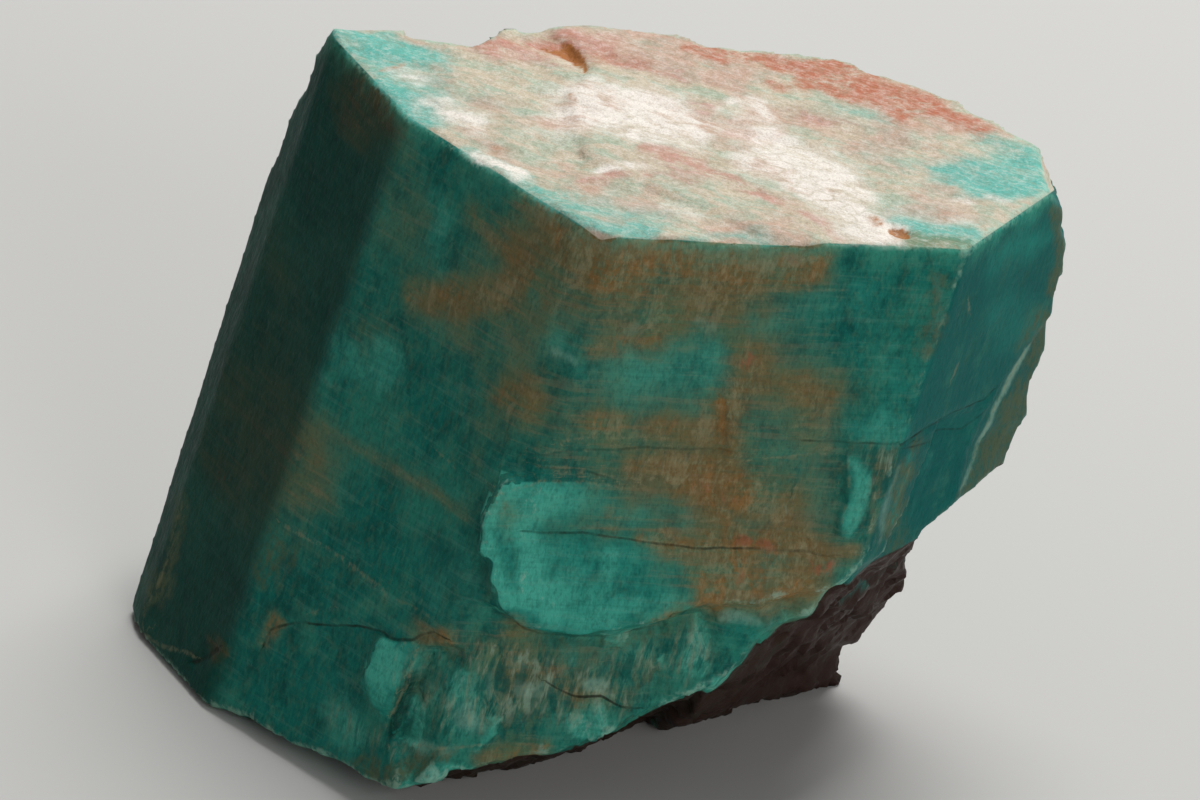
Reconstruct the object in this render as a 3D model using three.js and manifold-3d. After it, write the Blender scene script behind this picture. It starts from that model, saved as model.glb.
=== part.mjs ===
// Rough amazonite: one blocky crystal of green microcline feldspar, snapped off at its foot.
// Flat prism faces stand round the front, a cleavage makes the level top, and the back,
// the right end and the foot are rough breaks. Millimetres, +Z up, the stone rests on z = 0.

import * as THREE from "three";
import { mergeVertices } from "three/addons/utils/BufferGeometryUtils.js";
import Module from "manifold-3d";

const wasm = await Module();
wasm.setup();

// Driving dimensions
const HEIGHT = 53.8; // foot to cleaved top
const PRISM_LEAN = { right: 19.5, back: 23.2 }; // how far the prism's edges move over that height
const BEND_CUT = 0.8; // how much the blunt edge between the left and front faces is worn back
const REACH = 140; // half of this is longer than the stone, so a cutting block always spans it
const BREAK_CELL = 2.3; // size of the facets on the large breaks
const SCAR_CELL = 1.7; // size of the facets in the smaller scars
const REST = { x: 0.5, y: 2, halfLength: 24, halfWidth: 11 }; // the flat spot under the foot

// Corners of the cleaved top, seen from above
const RIM = {
  apex: [-25.6, 31.1],
  leftEdge: [-17.3, 13.6],
  bend: [0.8, -9.6],
  rightEdge: [35.8, -13.1],
  endTip: [43.7, -2.3],
};

// Hidden rear-left face: a point on it, the way it faces seen from above in degrees from +X,
// and its tilt above the level
const REAR_LEFT = { at: [-28, 33.35, 47.9], azimuth: 144.5, tilt: 0.2 };

// Breaks, given in the same way
const BREAKS = {
  backLeft: { at: [-15, 31.4, HEIGHT], azimuth: 92, tilt: -3 },
  back: { at: [12, 28.3, HEIGHT], azimuth: 76, tilt: -13 },
  backRight: { at: [33.5, 17.8, HEIGHT], azimuth: 48.5, tilt: -22.8 },
  endCorner: { at: [42.2, 8.4, HEIGHT], azimuth: 30, tilt: 8 },
  endTop: { at: [43.6, 0.8, HEIGHT], azimuth: 5, tilt: 15 },
  endMiddle: { at: [45.4, 1, 44], azimuth: 14, tilt: -2 },
  endFoot: { at: [47.2, 0, 40], azimuth: 14, tilt: -22.6 },
  undercut: { at: [14.1, -8.3, 0], azimuth: -43.7, tilt: -37.6 },
  frontLip: { at: [-2.8, -16, 0], azimuth: -64.4, tilt: -55.3 },
  lipNotch: { at: [4.4, -9.2, 0], azimuth: -44, tilt: -50 },
  notchSide: { at: [5, -9.2, 0], azimuth: -160, tilt: 0 },
  leftLip: { at: [-20.4, -12.7, -0.7], azimuth: -118, tilt: -73.3 },
  leftBevel: { at: [-41.9, -2.6, 1.4], azimuth: -152, tilt: -30 },
  endCeiling: { at: [35.4, -11.5, 25.2], azimuth: -30, tilt: -60 },
  footWall: { at: [30.5, -9.6, 15.8], azimuth: 10, tilt: 3 },
};

const prismAxis = new THREE.Vector3(PRISM_LEAN.right, PRISM_LEAN.back, HEIGHT).normalize();

/** Solid for joining and cutting, from a closed three.js geometry. */
function solid(geometry) {
  const bare = geometry.clone();
  bare.deleteAttribute("normal");
  bare.deleteAttribute("uv");
  const merged = mergeVertices(bare, 1e-4);
  return new wasm.Manifold(new wasm.Mesh({
    numProp: 3,
    vertProperties: merged.getAttribute("position").array,
    triVerts: new Uint32Array(merged.index.array),
  }));
}

/** A repeatable number from 0 to 1 for each pair of whole numbers. */
function scatter(i, j, seed) {
  const wave = Math.sin(i * 127.1 + j * 311.7 + seed * 74.7) * 43758.5453;
  return wave - Math.floor(wave);
}

/** Smooth lumps from -1 to 1, one to each unit square. */
function lumps(x, y, seed) {
  const i = Math.floor(x);
  const j = Math.floor(y);
  const u = THREE.MathUtils.smoothstep(x - i, 0, 1);
  const v = THREE.MathUtils.smoothstep(y - j, 0, 1);
  const low = THREE.MathUtils.lerp(scatter(i, j, seed), scatter(i + 1, j, seed), u);
  const high = THREE.MathUtils.lerp(scatter(i, j + 1, seed), scatter(i + 1, j + 1, seed), u);
  return 2 * THREE.MathUtils.lerp(low, high, v) - 1;
}

/** Relief of a break: cleavage ledges of uneven height across the upward way, and lumps. */
function ledges({ pitch, rise, slant, lump, seed, depth = 0 }) {
  return (u, v) => {
    const wander = 0.45 * pitch * lumps(u / 11, v / 14, seed);
    const place = (v + slant * u + wander) / pitch;
    const count = Math.floor(place);
    const height = rise * (0.35 + 1.3 * scatter(count, 3, seed));
    const tooth = height * (0.5 - (place - count));
    const broad = lump * lumps(u / 9, v / 7, seed + 1);
    const small = 0.3 * lump * lumps(u / 3.4, v / 3.1, seed + 2);
    return tooth + broad + small - depth;
  };
}

const flat = () => 0;

/** Block that takes away everything outside a face: its lower side carries the face's relief. */
function cuttingBlock(relief, cell) {
  const count = relief === flat ? 1 : Math.round(REACH / cell);
  const block = new THREE.BoxGeometry(REACH, REACH, REACH, count, count, 1);
  const place = block.getAttribute("position");
  for (let i = 0; i < place.count; i += 1) {
    const x = place.getX(i);
    const y = place.getY(i);
    const u = x + 0.3 * cell * lumps(x / cell + 0.5, y / cell + 0.5, 5);
    const v = y + 0.3 * cell * lumps(x / cell + 0.5, y / cell + 0.5, 6);
    const outside = place.getZ(i) > 0;
    place.setXYZ(i, u, v, outside ? REACH : relief(u, v));
  }
  return block;
}

/** Frame on a break: its third axis points out of the stone, its first is level. */
function breakFrame({ at, azimuth, tilt }) {
  const turn = THREE.MathUtils.degToRad(azimuth);
  const rise = THREE.MathUtils.degToRad(tilt);
  const out = new THREE.Vector3(
    Math.cos(rise) * Math.cos(turn),
    Math.cos(rise) * Math.sin(turn),
    Math.sin(rise),
  );
  const side = new THREE.Vector3(-Math.sin(turn), Math.cos(turn), 0);
  const up = new THREE.Vector3().crossVectors(out, side);
  return new THREE.Matrix4().makeBasis(side, up, out).setPosition(...at);
}

/** Frame on a prism face: along its top rim, up the prism's edges, and out of the stone. */
function prismFrame([x1, y1], [x2, y2], inset = 0) {
  const along = new THREE.Vector3(x2 - x1, y2 - y1, 0).normalize();
  const out = new THREE.Vector3().crossVectors(along, prismAxis).normalize();
  const corner = new THREE.Vector3(x1, y1, HEIGHT).addScaledVector(out, -inset);
  return new THREE.Matrix4().makeBasis(along, prismAxis, out).setPosition(corner);
}

/** What lies outside a face, as a solid to take away. */
function outside(frame, relief = flat, cell = BREAK_CELL) {
  return solid(cuttingBlock(relief, cell).applyMatrix4(frame));
}

/** Upright-sided solid over an outline on a face; points are [along the rim, down the face]. */
function column(frame, outline, inner, outer) {
  const shape = new THREE.Shape(outline.map(([a, b]) => new THREE.Vector2(a, -b)));
  const body = new THREE.ExtrudeGeometry(shape, { depth: outer - inner, bevelEnabled: false });
  return body.translate(0, 0, inner).applyMatrix4(frame);
}

/** Raised flake: its skin climbs from a low height at its top to a high one at its foot. */
function flake(frame, outline, low, high, root = 2) {
  const rows = outline.map(([, b]) => b);
  const top = Math.min(...rows);
  const foot = Math.max(...rows);
  const body = column(new THREE.Matrix4(), outline, -root, 1);
  const place = body.getAttribute("position");
  for (let i = 0; i < place.count; i += 1) {
    if (place.getZ(i) > 0) {
      place.setZ(i, THREE.MathUtils.mapLinear(-place.getY(i), top, foot, low, high));
    }
  }
  return solid(body.applyMatrix4(frame));
}

/** Scar: what broke away inside an outline on a face, with a rough floor. */
function scar(frame, outline, relief, cell = SCAR_CELL) {
  return solid(column(frame, outline, -9, 9)).intersect(outside(frame, relief, cell));
}

// Frames of the flat faces
const narrowFace = prismFrame(RIM.apex, RIM.leftEdge);
const leftFace = prismFrame(RIM.leftEdge, RIM.bend);
const frontFace = prismFrame(RIM.bend, RIM.rightEdge);
const rightFace = prismFrame(RIM.rightEdge, RIM.endTip);
const topFace = new THREE.Matrix4().makeTranslation(0, 0, HEIGHT);

/** The blunt edge between two prism faces, worn back by a set depth. */
function wornEdge() {
  const [x, y] = RIM.bend;
  const before = [x - 8, y + 5.1];
  const after = [x + 8, y - 5.1];
  const frame = prismFrame(before, after, BEND_CUT);
  return outside(frame);
}

/** Far-left rim: a narrow face that turns away beside the narrow face. */
function leftRim() {
  const [x, y] = RIM.apex;
  return outside(prismFrame([x + 0.55, y + 0.2], [x + 0.9, y - 1.8]));
}

/** The flat faces: a level top and the prism faces round the front. */
function flatFaces() {
  return [
    outside(narrowFace),
    outside(leftFace),
    outside(frontFace),
    outside(rightFace),
    wornEdge(),
    leftRim(),
    outside(breakFrame(REAR_LEFT)),
  ];
}

/** The rough breaks round the back and the right end. */
function backBreaks() {
  const back = ledges({ pitch: 13, rise: 2.4, slant: 0.12, lump: 0.9, seed: 11 });
  const shoulder = ledges({ pitch: 9, rise: 1.6, slant: -0.2, lump: 0.7, seed: 21 });
  const end = ledges({ pitch: 6, rise: 0.9, slant: 0.1, lump: 0.4, seed: 31 });
  return [
    outside(breakFrame(BREAKS.backLeft), back),
    outside(breakFrame(BREAKS.back), back),
    outside(breakFrame(BREAKS.backRight), shoulder),
    outside(breakFrame(BREAKS.endCorner), end),
    outside(breakFrame(BREAKS.endTop), end),
    outside(breakFrame(BREAKS.endMiddle), end),
    outside(breakFrame(BREAKS.endFoot), end),
  ];
}

/** The foot: a rough break that lies level on a flat spot and lifts a little round it. */
function footRelief(u, v) {
  const length = (u - REST.x) / REST.halfLength;
  const width = (v + REST.y) / REST.halfWidth;
  const away = Math.max(0, Math.hypot(length, width) - 1);
  const rough = 0.35 + 0.3 * lumps(u / 6, v / 6, 41);
  return -Math.min(1, 2.5 * away) * rough;
}

/** How far the undercut's lowest strip stands out as a toe, from 0 to 1. */
function toe(u, v) {
  const low = 1 - THREE.MathUtils.smoothstep(v, 2, 5);
  return low * THREE.MathUtils.smoothstep(u, -3, 6);
}

/** The foot and the dark undercut that climbs from it to the right. */
function footBreaks() {
  const under = ledges({ pitch: 7, rise: 1.3, slant: 0.25, lump: 0.6, seed: 51 });
  const lip = ledges({ pitch: 5, rise: 0.6, slant: 0.1, lump: 0.3, seed: 61 });
  const toed = (u, v) => under(u, v) + 2.9 * toe(u, v);
  const foot = new THREE.Matrix4().makeRotationX(Math.PI);
  return [
    outside(foot, footRelief),
    outside(breakFrame(BREAKS.undercut), toed),
    outside(breakFrame(BREAKS.frontLip), lip),
    outside(breakFrame(BREAKS.lipNotch), lip).intersect(outside(breakFrame(BREAKS.notchSide))),
    outside(breakFrame(BREAKS.leftLip), lip),
    outside(breakFrame(BREAKS.leftBevel), lip),
    underEnd(),
  ];
}

/** The hollow under the right end, between its ceiling and the wall of the foot. */
function underEnd() {
  const rough = ledges({ pitch: 6, rise: 0.8, slant: -0.2, lump: 0.5, seed: 71 });
  const ceiling = outside(breakFrame(BREAKS.endCeiling), rough);
  const wall = outside(breakFrame(BREAKS.footWall), rough);
  return ceiling.intersect(wall);
}

/** Layers that came away from the front faces and left rough floors. */
function frontScars() {
  const belowPlate = [
    [-6, 38], [0.4, 37.2], [5.5, 39.9], [11, 40.3], [15.2, 39.3], [18.7, 38.1],
    [21.7, 36.6], [26.6, 36.6], [30, 35], [36, 34.4], [36, 62], [-8, 62],
  ];
  const besideBlock = [
    [24.3, 44.2], [23.6, 48], [23.2, 52], [24.8, 54], [28, 58], [38, 58], [38, 43], [28, 42.3],
  ];
  const belowCrack = [
    [-2, 55], [3.2, 52.4], [6.4, 49.6], [11.7, 47.5], [15.1, 45.8], [21, 44.3], [25.2, 42.2],
    [28, 42], [31, 50], [31, 64], [-2, 64],
  ];
  const broken = ledges({ pitch: 7.5, rise: 0.9, slant: 0.8, lump: 0.55, seed: 83, depth: 1.5 });
  const deep = ledges({ pitch: 6, rise: 0.6, slant: -0.7, lump: 0.45, seed: 91, depth: 1.8 });
  const shallow = ledges({ pitch: 9, rise: 0.3, slant: 0.1, lump: 0.15, seed: 95, depth: 0.45 });
  return [
    scar(frontFace, belowPlate, broken),
    scar(leftFace, besideBlock, deep),
    scar(leftFace, belowCrack, shallow),
  ];
}

/** Flakes and plates that stand a little proud of the front faces. */
function frontFlakes() {
  const bigPlate = [
    [-1.3, 25], [-1.8, 27.4], [-2.2, 29.2], [-1.5, 30.7], [-1.4, 32.5], [0, 33.3], [0.6, 35.5],
    [2.5, 38], [5.5, 39.8], [11, 40.2], [15.2, 39.2], [18.7, 38], [21.7, 36.4], [26.6, 36.4],
    [29.7, 35], [29.4, 33.7], [32.6, 32.4], [32, 30.9], [24.3, 30.5], [17.6, 29.8], [17, 24.9],
  ];
  const upperPlate = [
    [16, 13], [34.9, 11], [34.9, 19.8], [30.5, 20], [26.3, 20], [24.3, 21.1], [19.4, 21.8],
  ];
  const edgeFlake = [
    [30.6, 20.4], [30.7, 21.6], [32, 26], [31.5, 27.4], [32, 28.9], [32.8, 29.1], [34, 28.2],
    [35, 28], [35, 20.4],
  ];
  const lozenge = [[23.2, 38], [24.5, 36.8], [28.3, 36.6], [28.4, 38.7], [26.3, 38.8]];
  const block = [
    [18.2, 46.2], [21.1, 44.5], [24.2, 44.2], [24, 47.4], [23.2, 51.2], [20.3, 51.7], [18.2, 49.8],
  ];
  return [
    flake(frontFace, bigPlate, 0.15, 0.95),
    flake(frontFace, upperPlate, 0.05, 0.5),
    flake(frontFace, edgeFlake, 0.3, 0.9),
    flake(frontFace, lozenge, -0.7, -0.2, 4),
    flake(leftFace, block, 0.1, 0.4, 5),
  ];
}

/** Scars on the right face: a darker hollow beside two columns, and a fresh break at the end. */
function rightScars() {
  const hollow = [
    [6.6, 20.3], [11, 20.9], [15.2, 21.1], [15.6, 31], [12, 37], [3.4, 37], [4.4, 31], [5.9, 27.7],
  ];
  const fresh = [
    [21, 17.8], [19.2, 19.2], [17.8, 20.5], [16.4, 22.7], [15.5, 24], [15.4, 27.2], [16, 31],
    [18, 38], [32, 38], [32, 13], [25, 15],
  ];
  const deepAtColumn = (u) => THREE.MathUtils.mapLinear(u, 4, 15.5, -1.6, -0.2);
  const rough = ledges({ pitch: 7, rise: 0.6, slant: 0.4, lump: 0.3, seed: 101, depth: 0.5 });
  return [
    scar(rightFace, hollow, deepAtColumn),
    scar(rightFace, fresh, rough),
  ];
}

/** Low steps, a groove and a pit in the cleaved top, and the bite out of its back rim. */
function topScars() {
  const lowLayer = [
    [-30, -40], [-5, -40], [-3.6, -30], [-1.7, -25], [-0.2, -21], [-0.8, -19.7], [-2, -17.4],
    [-2.3, -15.9], [-1.9, -14.5], [-1.1, -11.1], [-0.6, -6.3], [1.3, -3.4], [5.6, 0.4],
    [10.4, 4.3], [16.2, 9.5], [24, 12.6], [24, 20], [-30, 20],
  ];
  const bite = [
    [-20, -36], [-17.6, -29.6], [-14, -28.8], [-11, -27.7], [-9.8, -28.8], [-8.6, -31], [-8, -36],
  ];
  const low = (u, v) => -0.45 + 0.08 * lumps(u / 5, v / 2, 111);
  const groove = new THREE.SphereGeometry(1, 14, 10).scale(0.75, 4.3, 1);
  groove.rotateZ(THREE.MathUtils.degToRad(22)).translate(-1.7, 25, HEIGHT - 0.1);
  const pit = new THREE.SphereGeometry(1, 12, 8).scale(2, 1, 0.8);
  pit.rotateZ(THREE.MathUtils.degToRad(-45)).translate(29.3, -9.6, HEIGHT);
  return [
    scar(topFace, lowLayer, low, 4),
    scar(topFace, bite, (u, v) => -6 - 0.6 * v + 17 + lumps(u / 2, v / 2, 121), 2),
    solid(groove),
    solid(pit),
  ];
}

/** Cuts and joins, in the order in which the stone got them. */
function makeStone() {
  const half = REACH / 2;
  const blank = new THREE.BoxGeometry(REACH, REACH, HEIGHT + 4).translate(0, 0, HEIGHT / 2 - 2);
  let stone = solid(blank);
  const takeAway = (pieces) => {
    stone = pieces.reduce((rest, piece) => rest.subtract(piece), stone);
  };
  takeAway(flatFaces());
  takeAway(frontScars());
  stone = frontFlakes().reduce((rest, piece) => rest.add(piece), stone);
  takeAway(rightScars());
  takeAway(topScars());
  takeAway(backBreaks());
  takeAway(footBreaks());
  return stone;
}

/** three.js geometry of a solid, centred over the origin with its foot at z = 0. */
function geometryOf(stone) {
  const mesh = stone.getMesh();
  const geometry = new THREE.BufferGeometry();
  geometry.setAttribute("position", new THREE.BufferAttribute(mesh.vertProperties, 3));
  geometry.setIndex(new THREE.BufferAttribute(mesh.triVerts, 1));
  geometry.computeBoundingBox();
  const { min, max } = geometry.boundingBox;
  geometry.translate(-(min.x + max.x) / 2, -(min.y + max.y) / 2, -min.z);
  geometry.computeVertexNormals();
  return geometry;
}

const amazonite = new THREE.MeshStandardMaterial({ color: "#2b7f73", roughness: 0.45, metalness: 0 });
const crystal = new THREE.Mesh(geometryOf(makeStone()), amazonite);
crystal.name = "amazonite_crystal";

const group = new THREE.Group();
group.add(crystal);

export default group;
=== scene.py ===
"""Looks of a rough amazonite crystal: the stone itself, and a plain studio round it.

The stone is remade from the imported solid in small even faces, carved with the fine steps,
fibres and cracks that feldspar splits along, and stained where iron has crept into it.
Metres in the scene; places and sizes in the tables below are millimetres.
"""

import math

import bmesh
import bpy
import numpy as np
from mathutils import Matrix, Vector, noise


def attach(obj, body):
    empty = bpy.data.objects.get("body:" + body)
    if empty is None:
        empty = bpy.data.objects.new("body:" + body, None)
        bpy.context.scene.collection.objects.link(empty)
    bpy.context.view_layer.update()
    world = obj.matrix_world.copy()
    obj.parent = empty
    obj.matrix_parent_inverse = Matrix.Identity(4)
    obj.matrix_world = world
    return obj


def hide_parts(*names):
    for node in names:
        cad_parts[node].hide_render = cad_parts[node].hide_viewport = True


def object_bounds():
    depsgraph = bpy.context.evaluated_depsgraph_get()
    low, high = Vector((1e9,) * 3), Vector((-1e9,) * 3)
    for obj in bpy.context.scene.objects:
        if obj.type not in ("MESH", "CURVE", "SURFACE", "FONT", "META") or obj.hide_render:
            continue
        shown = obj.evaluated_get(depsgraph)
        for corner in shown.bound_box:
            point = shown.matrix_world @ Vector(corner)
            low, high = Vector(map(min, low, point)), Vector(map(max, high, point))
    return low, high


bl_info = {
    "name": "Rough Amazonite",
    "version": (1, 0, 0),
    "blender": (4, 5, 0),
    "location": "View3D > Sidebar > Amazonite",
    "description": "A broken crystal of green feldspar and a plain studio to see it in",
    "category": "Add Mesh",
}

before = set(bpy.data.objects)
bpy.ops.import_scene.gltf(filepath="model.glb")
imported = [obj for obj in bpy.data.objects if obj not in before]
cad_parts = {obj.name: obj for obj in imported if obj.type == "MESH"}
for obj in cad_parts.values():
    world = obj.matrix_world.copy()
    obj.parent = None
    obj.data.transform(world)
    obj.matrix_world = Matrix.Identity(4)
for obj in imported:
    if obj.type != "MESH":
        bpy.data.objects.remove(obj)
CAD_LOW, CAD_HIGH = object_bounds()

MM = 0.001
SOLID = "amazonite_crystal"
TOP = CAD_HIGH.z / MM  # level of the cleaved top
PRISM_AXIS = Vector((19.5, 23.2, 53.8)).normalized()  # the way the flat faces run up
FIBRE_TURN = math.radians(-31)  # the way the albite fibres cross the top, from +X

# Flat faces: a point on each, the way it faces seen from above in degrees, and its tilt
FLAT_FACES = {
    "top": ((0.0, 0.0, TOP), 0.0, 90.0),
    "front": ((0.4, -10.6, TOP), -95.6, 25.0),
    "left": ((-17.7, 12.6, TOP), -142.0, 28.9),
    "narrow": ((-26.0, 30.1, TOP), -154.7, 27.1),
    "right": ((35.4, -14.1, TOP), -36.5, -1.9),
    "rim": ((-25.4, 30.3, TOP), -170.1, 23.3),
    "rear": ((-28.4, 32.3, 47.9), 144.5, 0.2),
}

# The groove and the pit in the top (x, y), and how far round them their iron stain reaches
SUNKEN = ([(-3.6, 27.7), (-0.6, 20.2)], [(28.9, -10.7)])
SUNKEN_REACH = 2.2

# Where a thin layer is missing from the left of the top: how deep, and its edge (x, y)
LOW_LAYER = 0.45
LAYER_EDGE = [
    (23.6, -13.7), (15.8, -10.6), (10.0, -5.4), (5.2, -1.5), (0.9, 2.3), (-1.0, 5.2),
    (-1.5, 10.0), (-2.3, 13.4), (-2.7, 14.8), (-2.4, 16.3), (-1.2, 18.6), (-0.6, 19.9),
    (-2.1, 23.9), (-4.0, 28.9), (-5.4, 38.9),
]

# Flat faces that bound the top and the front
FRONT_FACES = ("front", "left", "narrow", "right")

# Cosines of the turn away from a flat face between which a place comes to lie on it, and those
# between which it stops being rough break; and the distances from it, in mm, where both end
ON_FACE, UNBROKEN, NEAR_FACE = (0.9, 0.975), (0.35, 0.6), (0.7, 1.3)

# Relief: the usual size of its lumps and facets in mm, which is along a fibre, up its sheet and
# across the sheets where it has three parts, and the seed of each
SHEETS = ((9.0, 12.0, 2.6), 1)
FINE_SHEETS = ((3.0, 4.0, 0.9), 2)
THREADS = ((3.2, 5.0, 0.8), 3)
WAVES = (6.0, 4)
BLOCKS = ((2.6, 4.6, 1.8), 5)
CHIPS = ((1.3, 1.6, 0.9), 6)

# How far these stand out, in mm, and how much of the sheets' height the fine ones have
SHEET_HEIGHT, THREAD_HEIGHT, WAVE_HEIGHT, BLOCK_HEIGHT, CHIP_HEIGHT = 0.35, 0.05, 0.07, 0.34, 0.1
FINE_SHARE = 0.4
TERRACE = 0.16  # rise from one cleavage sheet to the next on the top, in mm
TERRACE_FRONT = (0.35, 0.65)  # the part of each sheet over which it rises
BEND = 0.5  # how far the waves shift the facets of the breaks, in mm
CALM = 0.2  # share of its relief that a break keeps beside the flat faces
CALM_REACH = (0.5, 4.0)  # distances behind those faces, in mm, over which it gains the rest

# Parts of an outward direction: how far it has to point up before it counts as top, as top that
# is stained, and as blunt rear edge; to the front before stains, lines and finer faces are put
# there; and down before it is the underside of the foot
UPWARD, FINE_UPWARD, STAINED_TOP, BLUNT_UPWARD = (0.75, 0.9), 0.8, (0.6, 0.85), 0.6
STAINED_FRONT, LINED_FRONT, FINE_FRONT = (0.05, 0.25), (0.1, 0.2), 0.15
DOWNWARD = (0.15, 0.5)

# The same for how far it has to point back before the rear's colours, the pink under the rear
# edge and the end of the foot are put there, and before the top's colours stop at a low level
REAR, REAR_EDGE, FOOT_END, TOP_END = (0.05, 0.4), (0.1, 0.5), (-0.1, 0.5), 0.2

# Lines and outlines on the front, in mm
CUT_REACH = 1.0  # faces this near to them are cut smaller
LINE_REACH = 0.9  # nothing of a line is kept beyond this
CRACK_HALF = 0.28  # half width of the groove of a crack
LINE_WANDER, OUTLINE_WANDER = 0.12, 0.15  # shares of the stains' raggedness that they have

# Distances in mm
FAR = 2.0  # how far from an edge its distance is still kept
SKIN = 1.6  # how far below the level of the top its colours reach
WELL_IN = 3  # how far from its edges they are full
STAIN_DEPTH = 3  # how far below it its stains fade out
PIT_DEPTH = (0.2, 0.4)  # depths between which its groove and its pit turn brown
PIT_END = 2  # how deep they are at most
BLUNT_REACH = 9  # how far below it its colours reach where its rear edge is blunt
# The light under the top's edges is a painted glow
RIM_FADE, FLUSH_FADE = 2.0, 4.0  # how fast the light and the pink under the top's edges fade

# Numbers of a facet between which it turns light, and between which it turns dark
LIGHT_FACET, DARK_FACET = (0.55, 0.95), (0.45, 0.05)

# How far a corner stands out, in mm, between which it turns pale, and how much less it does so
# in the foot
WORN, WORN_LESS = (0.05, 0.2), 0.8

# Brown foot, darkened with painted shade where it faces down and lies low, in mm: how far
# behind the front and left faces it starts, the heights between which its undersides fade, and
# where it starts along x and fades upwards, also at the rear; then how strong it is at the rear
FOOT_BURIED, FOOT_UNDER = (2.8, 3.6), (30, 40)
FOOT_START, FOOT_FADE, FOOT_REAR_FADE = (4, 8), (14, 22), (0, 18)
FOOT_REAR = 0.8

# Raggedness of what is drawn: the size of its waves and how far they shift it, in mm, and the
# seed without which the vector noise would start from the clock and differ at each run
RAGGED_WAVES = ((4.0, 1.8), (1.6, 0.8))
RAGGED_SEED = 1

# Stains: half widths at which one ends, and those at which iron does, which creeps far
STAIN_END = 2.1
FADES = {"rust": 3.6, "umber": 3.2}
UMBER_SHARE = 0.65  # how strong the weaker iron stain is beside the stronger one
IRON_LESS = 0.6  # how much less iron the brightest flakes have
SEEN = 0.3  # how much of the front has to be at a place for it to lie in an outline

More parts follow.
